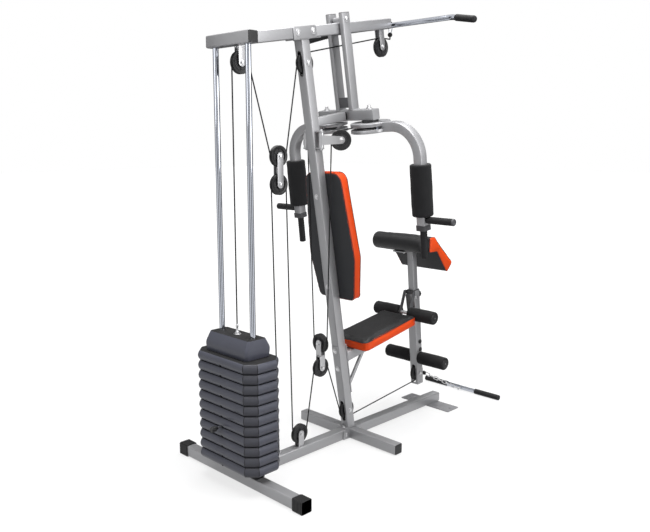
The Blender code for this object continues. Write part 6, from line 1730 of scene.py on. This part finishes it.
# %% Leg cable
runs, arcs = taut_line([(ANCHOR_X, 0.0723, 0, 1), (FLOAT_ONE_LOW.x, FLOAT_ONE_LOW.z, WRAP, -1),
    (BASE_WHEEL.x, BASE_WHEEL.z, WRAP, 1), (FLOAT_TWO_LOW.x, FLOAT_TWO_LOW.z, WRAP, -1), (*low_slot, WRAP, 1),
    (*lever_at, WRAP, 1), (LOW_STOP.x, LOW_STOP.z, 0, 1)])
LEG_BODIES = ("frame", "float_one", "frame", "float_two", "frame", "lever")
for k, (run_name, arc_name) in enumerate((("anchor_run", "float_one"), ("to_base", "base"), ("up", "float_two"),
        ("to_upright", "upright"), ("forward", "lever"))):
    run("leg_cable_" + run_name, straight(*runs[k]), LEG_BODIES[k], LEG_BODIES[k + 1])
    wrap("leg_cable_" + arc_name, arcs[k], LEG_BODIES[k + 1])
last_start, last_end = runs[5]
last_end = last_end - (last_end - last_start).normalized() * 0.0095
run("leg_cable_last", straight(last_start, last_end, 8), "lever", "row_end")

# %% Press cable
BLEND_HEIGHT = 1.353
for name, side in SIDES:
    way, swivel, press = ARM_DIRECTION[side], "swivel_" + name, "butterfly_" + name
    wheel_at = SWIVEL_PINS[side] + way * SWIVEL_REACH
    swivel_arc = [wheel_at + way * x + Vector((0, 0, z)) for x, z in arc(0, 0, WRAP, range(90, 181, 9))]
    wrap("press_cable_swivel_" + name, swivel_arc, swivel)
    low_arc = [FLOAT_TWO + Vector((0, side * y, -z)) for y, z in arc(0, 0, WRAP, range(0, 91, 9))]
    wrap("press_cable_float_" + name, low_arc, "float_two")
    top, bottom = swivel_arc[-1], low_arc[0]
    share = (top.z - BLEND_HEIGHT) / (top.z - bottom.z)
    between = top.lerp(bottom, share)
    run("press_cable_drop_" + name, straight(top, between, 12), swivel, "frame")
    run("press_cable_down_" + name, straight(between, bottom, 24), "frame", "float_two")
    cam_at, groove = Vector((PRESS_X, side * ARM_Y, ARM_Z)), 0.0726
    from_here = FLOOR_TO_UPRIGHT @ swivel_arc[0]
    gap = Vector((from_here.x - cam_at.x, from_here.y - cam_at.y))
    touch = math.atan2(gap.y, gap.x) + side * math.acos(groove / gap.length)
    ring_point = lambda angle: cam_at + Vector((groove * math.cos(angle), groove * math.sin(angle), 0))
    touch_at = UPRIGHT_TO_FLOOR @ ring_point(touch)
    end_angle = side * math.radians(360 - 247.0)
    start_angle = end_angle + side * math.radians(88)
    groove_path = [ring_point(start_angle + (end_angle - start_angle) * k / 24) for k in range(25)]
    wrap("press_cable_cam_" + name, groove_path + [Vector((0.203, side * (ARM_Y + 0.0705), ARM_Z))], press,
        place=UPRIGHT)
    first = swivel_arc[0].lerp(touch_at, 0.22)
    run("press_cable_turn_" + name, straight(swivel_arc[0], first, 8), swivel, "frame")
    run("press_cable_run_" + name, straight(first, touch_at, 12), "frame", "press")
    print(name, "cam touch", round(math.degrees(touch)), "fork", round(math.degrees(end_angle)))

# %% [markdown]
# ## Floor, light and camera
#
# The machine stands on a plain pale floor under soft studio light. The background is white because rays that come
# from the camera, or by way of metal, see a white world; the object itself is lit at a plain level by large soft
# lamps. The camera looks from the photograph's angle, from behind the stack on the right, a little above level.

# %% Floor
def seen_white(tree):
    """One for the rays that come from the camera or by way of metal or glass, and nought for the rest."""
    path = tree.nodes.new("ShaderNodeLightPath").outputs
    either = maths(tree, "MAXIMUM", path["Is Camera Ray"], path["Is Glossy Ray"])
    return maths(tree, "MAXIMUM", either, path["Is Transmission Ray"])


FLOOR_LEVEL, FLOOR_REACH = -0.0006, 30
floor_shape = bmesh.new()
for x, y in ((-1, -1), (1, -1), (1, 1), (-1, 1)):
    floor_shape.verts.new((x * FLOOR_REACH, y * FLOOR_REACH, FLOOR_LEVEL))
floor_shape.faces.new(floor_shape.verts[:])
studio_floor = in_scene("studio_floor", as_mesh(floor_shape, "studio_floor"))
floor_look = bpy.data.materials.new("Pale floor")
floor_look.use_nodes = True
tree = floor_look.node_tree
shader = preset(tree.nodes["Principled BSDF"], {"Base Color": (0.22, 0.22, 0.22, 1), "Roughness": 0.55,
    "Specular IOR Level": 0.25})
far_off = tree.nodes.new("ShaderNodeVectorMath")
far_off.operation = "LENGTH"
tree.links.new(tree.nodes.new("ShaderNodeTexCoord").outputs["Object"], far_off.inputs[0])
rise = preset(tree.nodes.new("ShaderNodeMapRange"), {"From Max": 6.0, "To Min": 0.68, "To Max": 0.97})
tree.links.new(far_off.outputs["Value"], rise.inputs["Value"])
lift = preset(tree.nodes.new("ShaderNodeEmission"), {"Color": (1, 1, 1, 1)})
tree.links.new(maths(tree, "MULTIPLY", seen_white(tree), rise.outputs[0]), lift.inputs["Strength"])
added = tree.nodes.new("ShaderNodeAddShader")
tree.links.new(shader.outputs[0], added.inputs[0])
tree.links.new(lift.outputs[0], added.inputs[1])
tree.links.new(added.outputs[0], tree.nodes["Material Output"].inputs["Surface"])
studio_floor.data.materials.append(floor_look)
print("floor at z", FLOOR_LEVEL)

# %% World
world = bpy.data.worlds.new("Studio")
bpy.context.scene.world = world
world.use_nodes = True
tree = world.node_tree
tree.nodes.clear()
choose = tree.nodes.new("ShaderNodeMixShader")
tree.links.new(seen_white(tree), choose.inputs["Fac"])
for slot, colour, strength in ((1, (0.93, 0.95, 1.0, 1), 0.15), (2, (1, 1, 1, 1), 1.0)):
    background = preset(tree.nodes.new("ShaderNodeBackground"), {"Color": colour, "Strength": strength})
    tree.links.new(background.outputs[0], choose.inputs[slot])
tree.links.new(choose.outputs[0], tree.nodes.new("ShaderNodeOutputWorld").inputs["Surface"])
print("world", world.name)


# %% Lamps
def soft_lamp(name, place, aim_at, size, power):
    lamp = bpy.data.lights.new(name, "AREA")
    lamp.shape = "RECTANGLE"
    lamp.size, lamp.size_y = size
    lamp.energy = power
    thing = in_scene(name, lamp)
    thing.location = place
    thing.rotation_euler = (Vector(aim_at) - Vector(place)).to_track_quat("-Z", "Y").to_euler()
    print(name, power, "W")


CENTRE = Vector((0, 0, 0.95))
soft_lamp("Overhead", (-0.2, -0.4, 4.8), CENTRE, (3.6, 3.6), 310)
soft_lamp("Key", (0.6, -4.6, 2.6), CENTRE, (3.0, 3.0), 160)
soft_lamp("Fill", (-4.2, -0.4, 3.0), CENTRE, (2.4, 3.0), 75)
soft_lamp("Rim", (3.4, 1.8, 3.2), CENTRE, (2.0, 3.0), 40)

# %% Dark cards for the metal
card_look = bpy.data.materials.new("Dark card")
card_look.use_nodes = True
preset(card_look.node_tree.nodes["Principled BSDF"], {"Base Color": (0.02, 0.02, 0.02, 1), "Roughness": 0.9})
CARD_AWAY, CARD_HIGH = 2.7, 3.4
for number, (bearing, spread) in enumerate(((265, 24), (199, 24), (350, 44), (106, 28), (45, 58))):
    card = bmesh.new()
    for turn, z in ((-spread / 2, 0.0), (spread / 2, 0.0), (spread / 2, CARD_HIGH), (-spread / 2, CARD_HIGH)):
        angle = math.radians(bearing + turn)
        card.verts.new(FLOOR @ Vector((CARD_AWAY * math.cos(angle), CARD_AWAY * math.sin(angle), z)))
    card.faces.new(card.verts[:])
    dark_card = in_scene(f"dark_card_{number + 1}", as_mesh(card, f"dark_card_{number + 1}"))
    dark_card.data.materials.append(card_look)
    for way in ("camera", "diffuse", "transmission", "volume_scatter", "shadow"):
        setattr(dark_card, "visible_" + way, False)
print("five dark cards stand where only shiny surfaces mirror them")

# %% Camera
camera = bpy.data.cameras.new("Photo view")
camera.sensor_width = 36.0
camera.lens = 40.95
camera.clip_end = 100.0
eye = in_scene("Photo view", camera)
eye.location = (-2.7175, -2.464, 1.509)
eye.rotation_euler = (Vector((-0.2875, -0.0376, 0.918)) - eye.location).to_track_quat("-Z", "Y").to_euler()
bpy.context.scene.camera = eye
bpy.context.scene.view_settings.view_transform = "Standard"
print("camera", camera.lens, "mm at", [round(v, 3) for v in eye.location])
